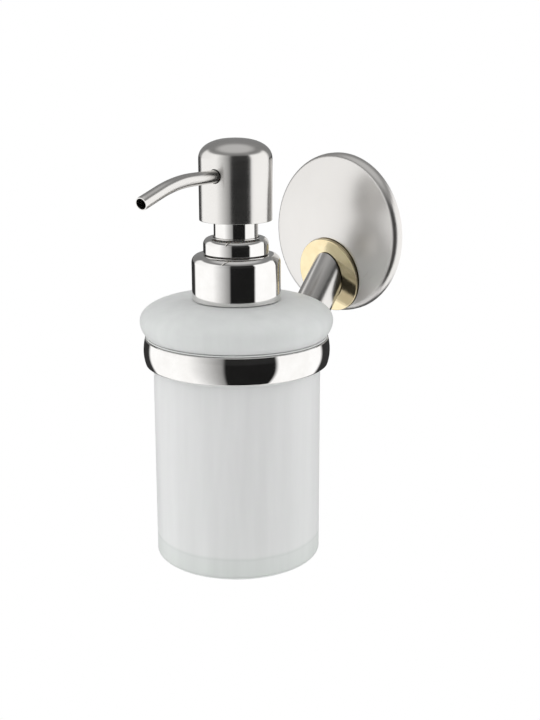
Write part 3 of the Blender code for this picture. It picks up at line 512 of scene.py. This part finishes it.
# %% [markdown]
# ## Holder ring
# The ring is a bulging band that carries the bottle by its shoulder, with a flat pad behind for the
# arm. The band's radius falls off as the square of the height from its belly. The pad is the same
# surface pushed out to the pad's radius where the angle and the height are inside its outline.

# %% Holder ring
RING_BOTTOM, RING_TOP = heights("holder_ring")
RING_BELLY, RING_BELLY_RADIUS, RING_BORE = -0.0386, 0.03555, 0.03325
CURVE_ABOVE, CURVE_BELOW, RING_LIP = 26.0, 34.0, 0.00025


def inside_span(value, low, high, soft=0.0003):
    """1 between low and high, 0 outside, with a soft step at each end."""
    up = np.clip((value - low) / soft, 0, 1)
    down = np.clip((high - value) / soft, 0, 1)
    return (up * up * (3 - 2 * up)) * (down * down * (3 - 2 * down))


def ring_points(steps=384, rows=44):
    """Outer radius = belly - bend * (height - belly height)^2, or the pad's radius; then the bore."""
    height = np.linspace(RING_TOP, RING_BOTTOM, rows)
    away = height - RING_BELLY
    band = RING_BELLY_RADIUS - np.where(away > 0, CURVE_ABOVE, CURVE_BELOW) * away ** 2
    angles = np.linspace(0.0, 2 * math.pi, steps, endpoint=False)
    aside = PAD_RADIUS * np.cos(angles)
    behind = (np.sin(angles) > 0) * inside_span(aside, -PAD_HALF_WIDTH, PAD_HALF_WIDTH)
    level = inside_span(height, PAD_BOTTOM, PAD_TOP)
    outer = band[:, None] + (PAD_RADIUS - band[:, None]) * level[:, None] * behind[None]
    outer[[0, -1]] -= RING_LIP
    inner_height = runs_between((0, RING_BOTTOM), (0, RING_TOP), 4)[:, 1]
    radii = np.vstack([outer, np.full((len(inner_height), steps), RING_BORE)])
    spokes = np.stack([np.cos(angles), np.sin(angles), np.zeros(steps)], 1)
    points = on_axis() + radii[..., None] * spokes[None]
    points[..., 2] = np.concatenate([height, inner_height])[:, None]
    return points


points = ring_points()
ring = mesh_object("ring_band", points.reshape(-1, 3), grid_faces(len(points), points.shape[1], True))
cut(
    ring,
    rod("ring_screw_hole", on_ring_screw(0.030), on_ring_screw(0.040), RING_SCREW_HOLE),
    rod("ring_screw_sink", on_ring_screw(0.0324), on_ring_screw(0.0352), 0.0041, 0.00187),
)
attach(ring, "wall_mount")
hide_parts("holder_ring")

# %% [markdown]
# A thin clear sleeve between ring and glass keeps metal off the bottle. Only its two lips show.

# %% Ring liner
SKIN = RING_BORE - GAP
LINER_FOOT, LINER_HEAD = heights("ring_liner")
LINER_BORE, LINER_FLANGE, LINER_LIP, LINER_EDGE = 0.0326, 0.0346, 0.0335, 0.00025
liner_profile = profile_of([
    (LINER_BORE, LINER_HEAD), (LINER_FLANGE, LINER_HEAD, LINER_EDGE), (LINER_FLANGE, RING_TOP + GAP),
    (SKIN, RING_TOP + GAP), (SKIN, RING_BOTTOM - GAP), (LINER_LIP, RING_BOTTOM - GAP),
    (LINER_LIP, LINER_FOOT, LINER_EDGE), (LINER_BORE, LINER_FOOT),
], arc_steps=5, closed=True)
liner = turned("clear_sleeve", liner_profile, on_axis(), steps=192, closed=True)
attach(liner, "wall_mount")
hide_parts("ring_liner")

# %% [markdown]
# ## Bottle
# Blown and ground glass: a flat round shoulder over a body that widens slightly to its foot, with a
# thick base. The shoulder is a superellipse, flatter on top than a circle. The neck has a real
# screw thread here. It is a ridge on the turned surface, whose height follows the angle once round
# for each pitch, so it winds up the neck as a thread does.

# %% Bottle
THREAD_PITCH = 0.0042
THREAD_TOP, THREAD_FOOT = -0.0093, -0.0160
NECK, BAND = 0.0133, 0.0141
MOUTH, MOUTH_TOP = 0.0113, -0.0083
SHOULDER_FLAT, SHOULDER_RADIUS, SHOULDER_TOP, SHOULDER_BELLY = 0.0200, 0.03665, -0.0193, -0.0270
SEAT_RADIUS, SEAT = 0.0344, -0.0324
BODY_TOP, BODY_SIDE, BODY_RADIUS = 0.0319, 0.03222, 0.03225
FOOT, PUNT, FLOOR, BORE = -0.1199, -0.1191, -0.1115, 0.0289


def bottle_profile():
    """Neck, shoulder, body and foot outside, then floor, bore and mouth inside."""
    neck = np.array([(MOUTH, MOUTH_TOP), (NECK - 0.0002, MOUTH_TOP), (NECK, MOUTH_TOP - 0.0002)])
    threaded = np.stack([np.full(48, NECK), np.linspace(-0.0088, -0.0168, 48)], 1)
    root = np.array([(NECK, -0.0188), (NECK + 0.0001, -0.0192), (NECK + 0.0005, SHOULDER_TOP)])
    width, rise = SHOULDER_RADIUS - SHOULDER_FLAT, SHOULDER_TOP - SHOULDER_BELLY
    shoulder = superellipse(SHOULDER_FLAT, SHOULDER_BELLY, width, rise, 2.15, 30)
    t = np.linspace(0.0, 1.0, 12)[1:]
    pull = (SHOULDER_RADIUS - SEAT_RADIUS) * t ** 2
    below = np.stack([SHOULDER_RADIUS - pull, SHOULDER_BELLY + (SEAT - SHOULDER_BELLY) * t], 1)
    body = runs_between((BODY_TOP, SEAT), (BODY_SIDE, PUNT), 14)
    foot = profile_of([
        (BODY_SIDE, PUNT + 0.0003), (BODY_RADIUS, FOOT, 0.0008), (0.0240, FOOT, 0.0003),
        (0.0225, PUNT, 0.0004), (0.0, PUNT),
    ])
    inside = profile_of([
        (0.0, FLOOR), (BORE, FLOOR, 0.0030), (BORE, -0.0240, 0.0050), (MOUTH, -0.0222, 0.0018),
        (MOUTH, MOUTH_TOP),
    ])
    return np.vstack([neck, threaded, root, shoulder, below, [(BODY_TOP, SEAT)], body, foot, inside])


def thread_ridge(angles, heights_here):
    """Ridge height: a rounded peak once in each pitch, moving round with the angle, faded at its ends."""
    wound = (heights_here[:, None] / THREAD_PITCH - angles[None] / (2 * math.pi)) % 1.0
    peak = np.clip(1.0 - np.abs(wound - 0.5) / 0.22, 0.0, 1.0)
    faded = inside_span(heights_here, THREAD_FOOT, THREAD_TOP, 0.0012)
    return (BAND - NECK - 0.00005) * peak * peak * (3 - 2 * peak) * faded[:, None]


def bottle_points(steps=224):
    """The turned profile, with the thread's ridge added to the radius of the outer neck."""
    profile = bottle_profile()
    angles = np.linspace(0.0, 2 * math.pi, steps, endpoint=False)
    outside_neck = np.abs(profile[:, 0] - NECK) < 0.00001
    ridge = thread_ridge(angles, profile[:, 1]) * outside_neck[:, None]
    radii = profile[:, 0, None] + ridge
    spokes = np.stack([np.cos(angles), np.sin(angles), np.zeros(steps)], 1)
    points = on_axis() + radii[..., None] * spokes[None]
    points[..., 2] = profile[:, 1, None]
    return points


points = bottle_points()
bottle = mesh_object("frosted_bottle", points.reshape(-1, 3), grid_faces(len(points), points.shape[1], True))
print("frosted_bottle has", len(bottle.data.polygons), "faces")
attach(bottle, "bottle")
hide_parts("glass_bottle")

# %% [markdown]
# ## Collars and stem sleeve
# Three drawn metal parts sit one over the other: the wide skirt that screws down on the neck, the
# narrow cap over the guide, and the sleeve that moves with the head. They are thin cups, so each
# profile goes over the outside and comes back 0.6 to 0.8 mm further in.

# %% Collars and sleeve
CLOSURE_RADIUS = radius_about_axis("closure_shell")
COLLAR_RADIUS = radius_about_axis("guide_collar")
SLEEVE_RADIUS = radius_about_axis("stem_sleeve")


def cup_profile(node_name, outer, wall, hole, corner, inner_corner):
    """A cup with a hole in its top: outside from hole to rim, then back inside."""
    low, high = heights(node_name)
    return profile_of([
        (hole, high, 0.00015), (outer, high, corner), (outer, low, 0.00018), (outer - wall, low, 0.00018),
        (outer - wall, high - wall, inner_corner), (hole, high - wall),
    ], arc_steps=12, closed=True)


skirt = turned(
    "closure_skirt", cup_profile("closure_shell", CLOSURE_RADIUS, 0.0008, 0.0106, 0.0030, 0.0024),
    on_axis(), steps=224, closed=True,
)
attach(skirt, "closure")
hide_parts("closure_shell")

cap = turned(
    "guide_cap", cup_profile("guide_collar", COLLAR_RADIUS, 0.0006, SLEEVE_RADIUS + 0.0004, 0.0027, 0.0022),
    on_axis(), steps=192, closed=True,
)
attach(cap, "pump_body")
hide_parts("guide_collar")

low, high = heights("stem_sleeve")
sleeve_profile = profile_of([
    (SLEEVE_RADIUS, high, 0.0001), (SLEEVE_RADIUS, low, 0.0001),
    (SLEEVE_RADIUS - 0.0006, low, 0.0001), (SLEEVE_RADIUS - 0.0006, high, 0.0001),
], closed=True)
sleeve = turned("sleeve_tube", sleeve_profile, on_axis(), steps=160, closed=True)
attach(sleeve, "head")
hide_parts("stem_sleeve")

# %% [markdown]
# ## Head
# The head is a deep drawn cap with straight sides and a flattened dome, a superellipse again. The
# spout enters it through a hole a little wider than the tube, which leaves a fine dark ring.

# %% Head
HEAD_RADIUS = radius_about_axis("head_shell")
HEAD_BOTTOM, HEAD_TOP = heights("head_shell")
HEAD_SHOULDER = 0.0328
SPOUT_YAW = math.radians(12.5)
SPOUT_AHEAD = np.array([math.sin(SPOUT_YAW), -math.cos(SPOUT_YAW), 0.0])
SPOUT_Z = 0.02755
SPOUT_RADIUS, SPOUT_WALL = 0.00233, 0.0005


def head_profile(wall=0.0008, power=2.3):
    """Dome and side outside, a rounded lower edge, then side and dome inside."""
    outside = superellipse(0.0, HEAD_SHOULDER, HEAD_RADIUS, HEAD_TOP - HEAD_SHOULDER, power, 48)
    inner = HEAD_RADIUS - wall
    inside = superellipse(0.0, HEAD_SHOULDER, inner, HEAD_TOP - wall - HEAD_SHOULDER, power, 24)[::-1]
    edge = profile_of([
        (HEAD_RADIUS, HEAD_SHOULDER), (HEAD_RADIUS, HEAD_BOTTOM, 0.00025), (inner, HEAD_BOTTOM, 0.00025),
        (inner, HEAD_SHOULDER),
    ], runs=10)
    return np.vstack([outside[:-1], edge[:-1], inside])


head = turned("head_cap", head_profile(), on_axis(), steps=256)
level = on_axis(SPOUT_Z)
cut(head, rod("spout_hole", level + SPOUT_AHEAD * 0.0060, level + SPOUT_AHEAD * 0.0180, SPOUT_RADIUS + GAP))
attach(head, "head")
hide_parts("head_shell")

# %% [markdown]
# ## Spout
# The spout is a thin tube bent once, by about 16 degrees over a wide former. A circle is carried
# along the path and turned with it. The path runs out along the outside and back along the inside,
# so one grid gives the wall and both cut ends.

# %% Spout
BEND_START, BEND_RADIUS, BEND, TIP_RUN = 0.0270, 0.0680, math.radians(16.5), 0.00939


def spout_path():
    """Run and drop of the tube's middle, and its angle below level, at even steps of length."""
    straight = np.linspace(0.0036, BEND_START, 16)
    turn_angle = np.linspace(0.0, BEND, 28)[1:]
    tip = np.linspace(0.0, 1.0, 10)[1:]
    bend_run = BEND_START + BEND_RADIUS * np.sin(turn_angle)
    bend_drop = BEND_RADIUS * (1 - np.cos(turn_angle))
    run = np.concatenate([straight, bend_run, bend_run[-1] + TIP_RUN * tip])
    drop = np.concatenate([straight * 0, bend_drop, bend_drop[-1] + TIP_RUN * math.tan(BEND) * tip])
    dip = np.concatenate([straight * 0, turn_angle, tip * 0 + BEND])
    return run, drop, dip


def spout_points(steps=48):
    """Point = path + radius * (cos a * sideways + sin a * across the path), out and back."""
    run, drop, dip = spout_path()
    middle = level + run[:, None] * SPOUT_AHEAD - drop[:, None] * np.array([0, 0, 1.0])
    raised = np.sin(dip)[:, None] * SPOUT_AHEAD + np.cos(dip)[:, None] * np.array([0, 0, 1.0])
    sideways = np.cross(SPOUT_AHEAD, [0, 0, 1.0])
    angles = np.linspace(0.0, 2 * math.pi, steps, endpoint=False)
    ring = np.cos(angles)[None, :, None] * sideways + np.sin(angles)[None, :, None] * raised[:, None]
    rim = 0.00008
    outer, inner = np.full(len(run), SPOUT_RADIUS), np.full(len(run), SPOUT_RADIUS - SPOUT_WALL)
    outer[[0, -1]] -= rim
    inner[[0, -1]] += rim
    outside = middle[:, None] + outer[:, None, None] * ring
    inside = middle[:, None] + inner[:, None, None] * ring
    return np.vstack([outside, inside[::-1]])


points = spout_points()
spout = mesh_object("bent_spout", points.reshape(-1, 3), grid_faces(len(points), points.shape[1], True))
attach(spout, "head")
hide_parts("spout")
print("spout tip stands %.1f mm from the axis" % (np.linalg.norm((points[54].mean(0) - level)[:2]) * 1000))

# %% [markdown]
# ## Return spring
# A wire wound seven times under the piston. Its turns lie closer near both ends.

# %% Return spring
SPRING_TURNS, WIRE_RADIUS, PUMP_STROKE = 7, 0.00045, 0.0115
SPRING_FOOT, SPRING_HEAD = heights("pump_spring")
COIL_RADIUS = 0.0045


def spring_points(steps=420, around=14):
    """Centre line = coil radius at the wound angle, rising; then a circle of wire across its run."""
    part = np.linspace(0.0, 1.0, steps)
    eased = part - np.sin(2 * math.pi * part) * 0.07
    wound = 2 * math.pi * SPRING_TURNS * part
    outward = np.stack([np.cos(wound), np.sin(wound), np.zeros(steps)], 1)
    middle = on_axis() + COIL_RADIUS * outward
    middle[:, 2] = SPRING_FOOT + WIRE_RADIUS + (SPRING_HEAD - SPRING_FOOT - 2 * WIRE_RADIUS) * eased
    size = np.full(steps, WIRE_RADIUS)
    size[[0, -1]] = 0.0
    middle[[0, -1]] = middle[[1, -2]]
    angles = np.linspace(0.0, 2 * math.pi, around, endpoint=False)
    upward = np.array([0.0, 0.0, 1.0])
    circle = np.cos(angles)[None, :, None] * outward[:, None] + np.sin(angles)[None, :, None] * upward
    return middle[:, None] + size[:, None, None] * circle


points = spring_points()
coil = mesh_object("coil_spring", points.reshape(-1, 3), grid_faces(len(points), points.shape[1], False))
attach(coil, "pump_body")
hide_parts("pump_spring")
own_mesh(coil)

# %% [markdown]
# ## Finishes
# Every finish is a small recipe of nodes on Object coordinates, which are metres in the model's own
# frame. So a pattern stays put on its piece. A few helpers hold the wiring: a placed pattern, a
# noise, a range and a tint. What is even all over is set on the shader itself.

# %% Helpers for finishes
class Finish:
    """One material: its node tree, its shader, and short ways to add what drives it."""

    def __init__(self, name, metallic=0.0, roughness=0.5, **even):
        self.material = bpy.data.materials.new(name)
        self.material.use_nodes = True
        self.tree = self.material.node_tree
        self.shader = self.tree.nodes["Principled BSDF"]
        self.shader.inputs["Metallic"].default_value = metallic
        self.shader.inputs["Roughness"].default_value = roughness
        for socket, value in even.items():
            self.shader.inputs[socket.replace("_", " ")].default_value = value
        self.here = self.tree.nodes.new("ShaderNodeTexCoord").outputs["Object"]

    def add(self, kind, settings=(), **inputs):
        """A node; an input is a number to set or a socket to link from."""
        made = self.tree.nodes.new(kind)
        for key, value in dict(settings).items():
            setattr(made, key, value)
        for key, value in inputs.items():
            socket = made.inputs[key.replace("_", " ")]
            if isinstance(value, bpy.types.NodeSocket):
                self.tree.links.new(value, socket)
            else:
                socket.default_value = value
        return made

    def placed(self, stretch, centre=(0.0, 0.0, 0.0)):
        """Object coordinates measured from a centre, multiplied along each axis."""
        shift = [-c * s for c, s in zip(centre, stretch)]
        mapping = self.add("ShaderNodeMapping", Vector=self.here, Location=shift, Scale=stretch)
        return mapping.outputs["Vector"]

    def noise(self, vector, scale, detail=3.0, roughness=0.55):
        return self.add(
            "ShaderNodeTexNoise", Vector=vector, Scale=scale, Detail=detail, Roughness=roughness,
        ).outputs["Fac"]

    def between(self, value, low, high, from_low=0.3, from_high=0.7):
        """Maps a pattern's range onto low to high."""
        made = self.add("ShaderNodeMapRange", Value=value)
        ends = {"From Min": from_low, "From Max": from_high, "To Min": low, "To Max": high}
        for key, number in ends.items():
            made.inputs[key].default_value = number
        return made.outputs["Result"]

    def maths(self, operation, first, second=0.0):
        made = self.add("ShaderNodeMath", {"operation": operation})
        for index, value in enumerate((first, second)):
            if isinstance(value, bpy.types.NodeSocket):
                self.tree.links.new(value, made.inputs[index])
            else:
                made.inputs[index].default_value = value
        return made.outputs["Value"]

    def tint(self, value, stops):
        """A colour ramp from (position, (r, g, b)) stops."""
        made = self.add("ShaderNodeValToRGB", Fac=value)
        stops_on(made.color_ramp, stops)
        return made.outputs["Color"]

    def worn(self, low=0.52, high=0.60):
        """1 on convex edges, 0 elsewhere, from how sharply the surface turns."""
        turn = self.tree.nodes.new("ShaderNodeNewGeometry").outputs["Pointiness"]
        return self.between(turn, 0.0, 1.0, low, high)

    def drive(self, socket, value):
        self.tree.links.new(value, self.shader.inputs[socket])

    def relief(self, height, distance, strength=1.0):
        """Bump by a real depth in metres."""
        bump = self.add("ShaderNodeBump", Height=height, Distance=distance, Strength=strength)
        self.tree.links.new(bump.outputs["Normal"], self.shader.inputs["Normal"])

    def paint(self, *pieces):
        """Gives the finish to pieces: into their material slots, or a new slot if they have none."""
        for piece in pieces:
            for slot in piece.material_slots:
                slot.material = self.material
            if not piece.material_slots:
                piece.data.materials.append(self.material)
        print(self.material.name, "on", ", ".join(piece.name for piece in pieces))


# %% [markdown]
# ## Satin nickel
# The head and spout are brushed round, and the rosette is spun, so the brush lines are rings about
# the axis of each. Noise that is squeezed hard along one direction gives such lines. On the rosette
# the radius from its centre is worked out first, and the noise runs along that. The lines drive a
# little roughness and a bump of a fraction of a micrometre; wider clouds are handling marks.

# %% Satin nickel
NICKEL = [(0.0, (0.60, 0.585, 0.565)), (0.5, (0.67, 0.655, 0.635)), (1.0, (0.72, 0.71, 0.695))]


def satin(finish, lines, low, high, depth):
    """Fills a finish with brushed nickel, given its line pattern."""
    clouds = finish.noise(finish.placed((1, 1, 1)), 90.0, 4.0)
    line_share = finish.maths("MULTIPLY", lines, 0.6)
    pattern = finish.maths("ADD", line_share, finish.maths("MULTIPLY", clouds, 0.4))
    edge_wear = finish.maths("MULTIPLY", finish.worn(), 0.25)
    finish.drive("Base Color", finish.tint(finish.maths("ADD", pattern, edge_wear), NICKEL))
    finish.drive("Roughness", finish.between(pattern, low, high))
    finish.relief(lines, depth, 0.35)


brushed = Finish("satin_nickel_brushed", metallic=1.0)
satin(
    brushed, brushed.noise(brushed.placed((40, 40, 5200), (0, AXIS[1], 0)), 1.0, 5.0, 0.7),
    0.16, 0.23, 0.0000015,
)
brushed.paint(head, spout)

spun = Finish("satin_nickel_spun", metallic=1.0)
flat = spun.add("ShaderNodeVectorMath", {"operation": "LENGTH"}, Vector=spun.placed((1, 0, 1)))
rings = spun.add("ShaderNodeCombineXYZ", X=spun.maths("MULTIPLY", flat.outputs["Value"], 3800.0))
satin(spun, spun.noise(rings.outputs["Vector"], 1.0, 5.0, 0.7), 0.26, 0.34, 0.0000012)
spun.paint(rosette)

drawn = Finish("satin_nickel_drawn", metallic=1.0)
satin(drawn, drawn.noise(drawn.placed((2600, 160, 160)), 1.0, 5.0, 0.7), 0.18, 0.26, 0.0000012)
drawn.paint(arm)

# %% [markdown]
# ## Polished nickel
# Skirt, cap, sleeve and ring are polished until they mirror the studio. What is left of the work is
# a faint haze in patches, a few fine scratches, and a slightly warm tone.

# %% Polished nickel
mirror = Finish("polished_nickel_plate", metallic=1.0)
haze = mirror.noise(mirror.placed((1, 1, 1)), 140.0, 5.0)
hairs = mirror.noise(mirror.placed((300, 300, 2400), (0, AXIS[1], 0)), 1.0, 2.0)
mirror.drive("Base Color", mirror.tint(
    mirror.maths("ADD", haze, mirror.maths("MULTIPLY", mirror.worn(), 0.3)),
    [(0.2, (0.70, 0.685, 0.665)), (0.6, (0.76, 0.75, 0.735)), (1.0, (0.82, 0.81, 0.80))],
))
mirror.drive("Roughness", mirror.between(haze, 0.035, 0.075))
mirror.relief(hairs, 0.0000006, 0.25)
mirror.paint(skirt, cap, sleeve, ring)

# %% [markdown]
# ## Polished brass
# Pale brass, buffed: the colour drifts a little between yellow and straw, and the haze is finer.

# %% Polished brass
brass = Finish("polished_brass_buffed", metallic=1.0)
drift = brass.noise(brass.placed((1, 1, 1)), 160.0, 4.0)
brass.drive("Base Color", brass.tint(drift, [
    (0.25, (0.74, 0.62, 0.38)), (0.6, (0.81, 0.70, 0.46)), (0.9, (0.86, 0.76, 0.54)),
]))
brass.drive("Roughness", brass.between(drift, 0.06, 0.12))
brass.relief(brass.noise(brass.placed((1, 1, 1)), 5200.0, 2.0), 0.0000008, 0.25)
brass.paint(disc)

# %% [markdown]
# ## Frosted glass
# The glass is frosted outside, so light enters, scatters and comes out again, and nothing behind it
# is seen. The frost is a fine grain in the bump, and faint upright streaks vary its tone. The thick
# base holds more glass, so it is greener and darker there, and a soft line shows where the inside
# floor begins. Part of the light passes, which the transmission gives, and part spreads in the wall.
# The shoulder, from the ring's top up, is painted darker than the body: painted shade, for its upward face
# under the dim ceiling.

# %% Frosted glass
frost = Finish(
    "acid_frosted_glass", IOR=1.50, Transmission_Weight=0.16, Subsurface_Weight=0.35, Subsurface_Scale=0.004,
)
frost.shader.inputs["Subsurface Radius"].default_value = (1.0, 1.1, 1.0)
grain = frost.noise(frost.placed((1, 1, 1)), 4200.0, 3.0)
cloud = frost.noise(frost.placed((1, 1, 0.35)), 55.0, 3.0)
tall = frost.add("ShaderNodeSeparateXYZ", Vector=frost.here).outputs["Z"]
wavering = frost.maths("ADD", tall, frost.maths("MULTIPLY", cloud, 0.0012))
up = frost.between(wavering, 0.0, 1.0, -0.1199, -0.0193)
# Tone by height: the lowest stops give the thick base its own greener tint and the floor line; the top stops
# darken the shoulder as painted shade.
glass_tone_and_shoulder_shade = frost.tint(up, [
    (0.00, (0.79, 0.82, 0.80)), (0.055, (0.83, 0.86, 0.84)), (0.078, (0.84, 0.865, 0.85)),
    (0.084, (0.79, 0.82, 0.80)), (0.095, (0.90, 0.915, 0.905)), (0.60, (0.91, 0.92, 0.915)),
    (0.83, (0.89, 0.905, 0.895)), (0.90, (0.84, 0.86, 0.85)), (1.00, (0.85, 0.87, 0.86)),
])
upright = frost.noise(frost.placed((170, 170, 14), (0, AXIS[1], 0)), 1.0, 4.0)
streaks_share = frost.between(upright, 0.93, 1.0)
streaked = frost.add("ShaderNodeVectorMath", {"operation": "SCALE"}, Vector=glass_tone_and_shoulder_shade, Scale=streaks_share)
frost.drive("Base Color", streaked.outputs["Vector"])
frost.drive("Roughness", frost.between(cloud, 0.40, 0.52))
frost.relief(grain, 0.000012, 0.35)
frost.paint(bottle)

# %% [markdown]
# ## Plastics, rubber and plated steel
# The hidden pieces keep their CAD meshes and get finishes of their own: moulded white plastic with
# a fine spark-eroded grain, milky clear tube, drawn stainless wire, bright zinc with its spangle,
# and matt rubber.

# %% Plastics
white = Finish("moulded_white_plastic", IOR=1.49, Subsurface_Weight=0.08, Subsurface_Scale=0.001)
eroded = white.noise(white.placed((1, 1, 1)), 3000.0, 2.0)
slow = white.noise(white.placed((1, 1, 1)), 120.0, 3.0)
white.drive("Base Color", white.tint(slow, [(0.3, (0.78, 0.78, 0.76)), (0.7, (0.86, 0.86, 0.84))]))
white.drive("Roughness", white.between(eroded, 0.36, 0.48))
white.relief(eroded, 0.000008, 0.3)
white.paint(*[nodes[n] for n in (
    "pump_cylinder", "stem_guide", "closure_nut", "piston", "stem", "head_core",
)])

milky = Finish("milky_clear_plastic", IOR=1.51, Transmission_Weight=0.15)
streaks = milky.noise(milky.placed((600, 600, 60)), 1.0, 3.0)
milky.drive("Base Color", milky.tint(streaks, [(0.3, (0.84, 0.86, 0.84)), (0.7, (0.93, 0.94, 0.93))]))
milky.drive("Roughness", milky.between(streaks, 0.32, 0.42))
milky.relief(streaks, 0.000006, 0.3)
milky.paint(liner, nodes["dip_tube"])

# %% Rubber and steel
rubber = Finish("matt_grey_rubber", Specular_IOR_Level=0.3)
dust = rubber.noise(rubber.placed((1, 1, 1)), 900.0, 4.0)
rubber.drive("Base Color", rubber.tint(dust, [(0.3, (0.045, 0.045, 0.047)), (0.7, (0.085, 0.085, 0.088))]))
rubber.drive("Roughness", rubber.between(dust, 0.65, 0.85))
rubber.relief(dust, 0.00002, 0.4)
rubber.paint(nodes["neck_gasket"])

zinc = Finish("bright_zinc_plate", metallic=1.0)
spangle = zinc.add("ShaderNodeTexVoronoi", Vector=zinc.placed((1, 1, 1)), Scale=700.0).outputs["Distance"]
rolled = zinc.noise(zinc.placed((90, 900, 2200)), 1.0, 4.0)
zinc.drive("Base Color", zinc.tint(spangle, [(0.0, (0.52, 0.53, 0.56)), (0.8, (0.64, 0.65, 0.67))]))
zinc.drive("Roughness", zinc.between(rolled, 0.28, 0.42))
zinc.relief(rolled, 0.000004, 0.4)
zinc.paint(*[nodes[n] for n in (
    "wall_bracket", "bracket_screw_left", "bracket_screw_right",
    "rosette_grub_screw", "arm_screw", "ring_screw",
)])

wire = Finish("drawn_stainless_steel", metallic=1.0)
die_lines = wire.noise(wire.placed((1500, 1500, 400)), 1.0, 4.0)
wire.drive("Base Color", wire.tint(die_lines, [(0.3, (0.52, 0.52, 0.52)), (0.7, (0.64, 0.64, 0.635))]))
wire.drive("Roughness", wire.between(die_lines, 0.18, 0.30))
wire.relief(die_lines, 0.000003, 0.3)
wire.paint(coil, nodes["inlet_ball"], nodes["outlet_ball"])

# %% [markdown]
# ## Floor
# A plain pale round floor lies well below the object, which hangs in the air as it would on a wall.
# It is a disc of rings and spokes, and it is stage only.

# %% Floor
FLOOR_Z, FLOOR_RADIUS = -0.42, 0.20


def floor_points(rings=8, steps=96):
    """Point = radius * direction of the angle, at the floor's height."""
    radius = np.linspace(0.0, FLOOR_RADIUS, rings)[:, None, None]
    angles = np.linspace(0.0, 2 * math.pi, steps, endpoint=False)
    spokes = np.stack([np.cos(angles), np.sin(angles), np.zeros(steps)], 1)
    return on_axis(FLOOR_Z) + radius * spokes[None]


points = floor_points()
floor = mesh_object("floor", points.reshape(-1, 3), grid_faces(len(points), points.shape[1], False))
pale = Finish("pale_floor", IOR=1.45)
mottle = pale.noise(pale.placed((1, 1, 1)), 6.0, 4.0)
pale.drive("Base Color", pale.tint(mottle, [(0.3, (0.93, 0.93, 0.93)), (0.7, (0.96, 0.96, 0.96))]))
pale.drive("Roughness", pale.between(mottle, 0.75, 0.9))
pale.paint(floor)
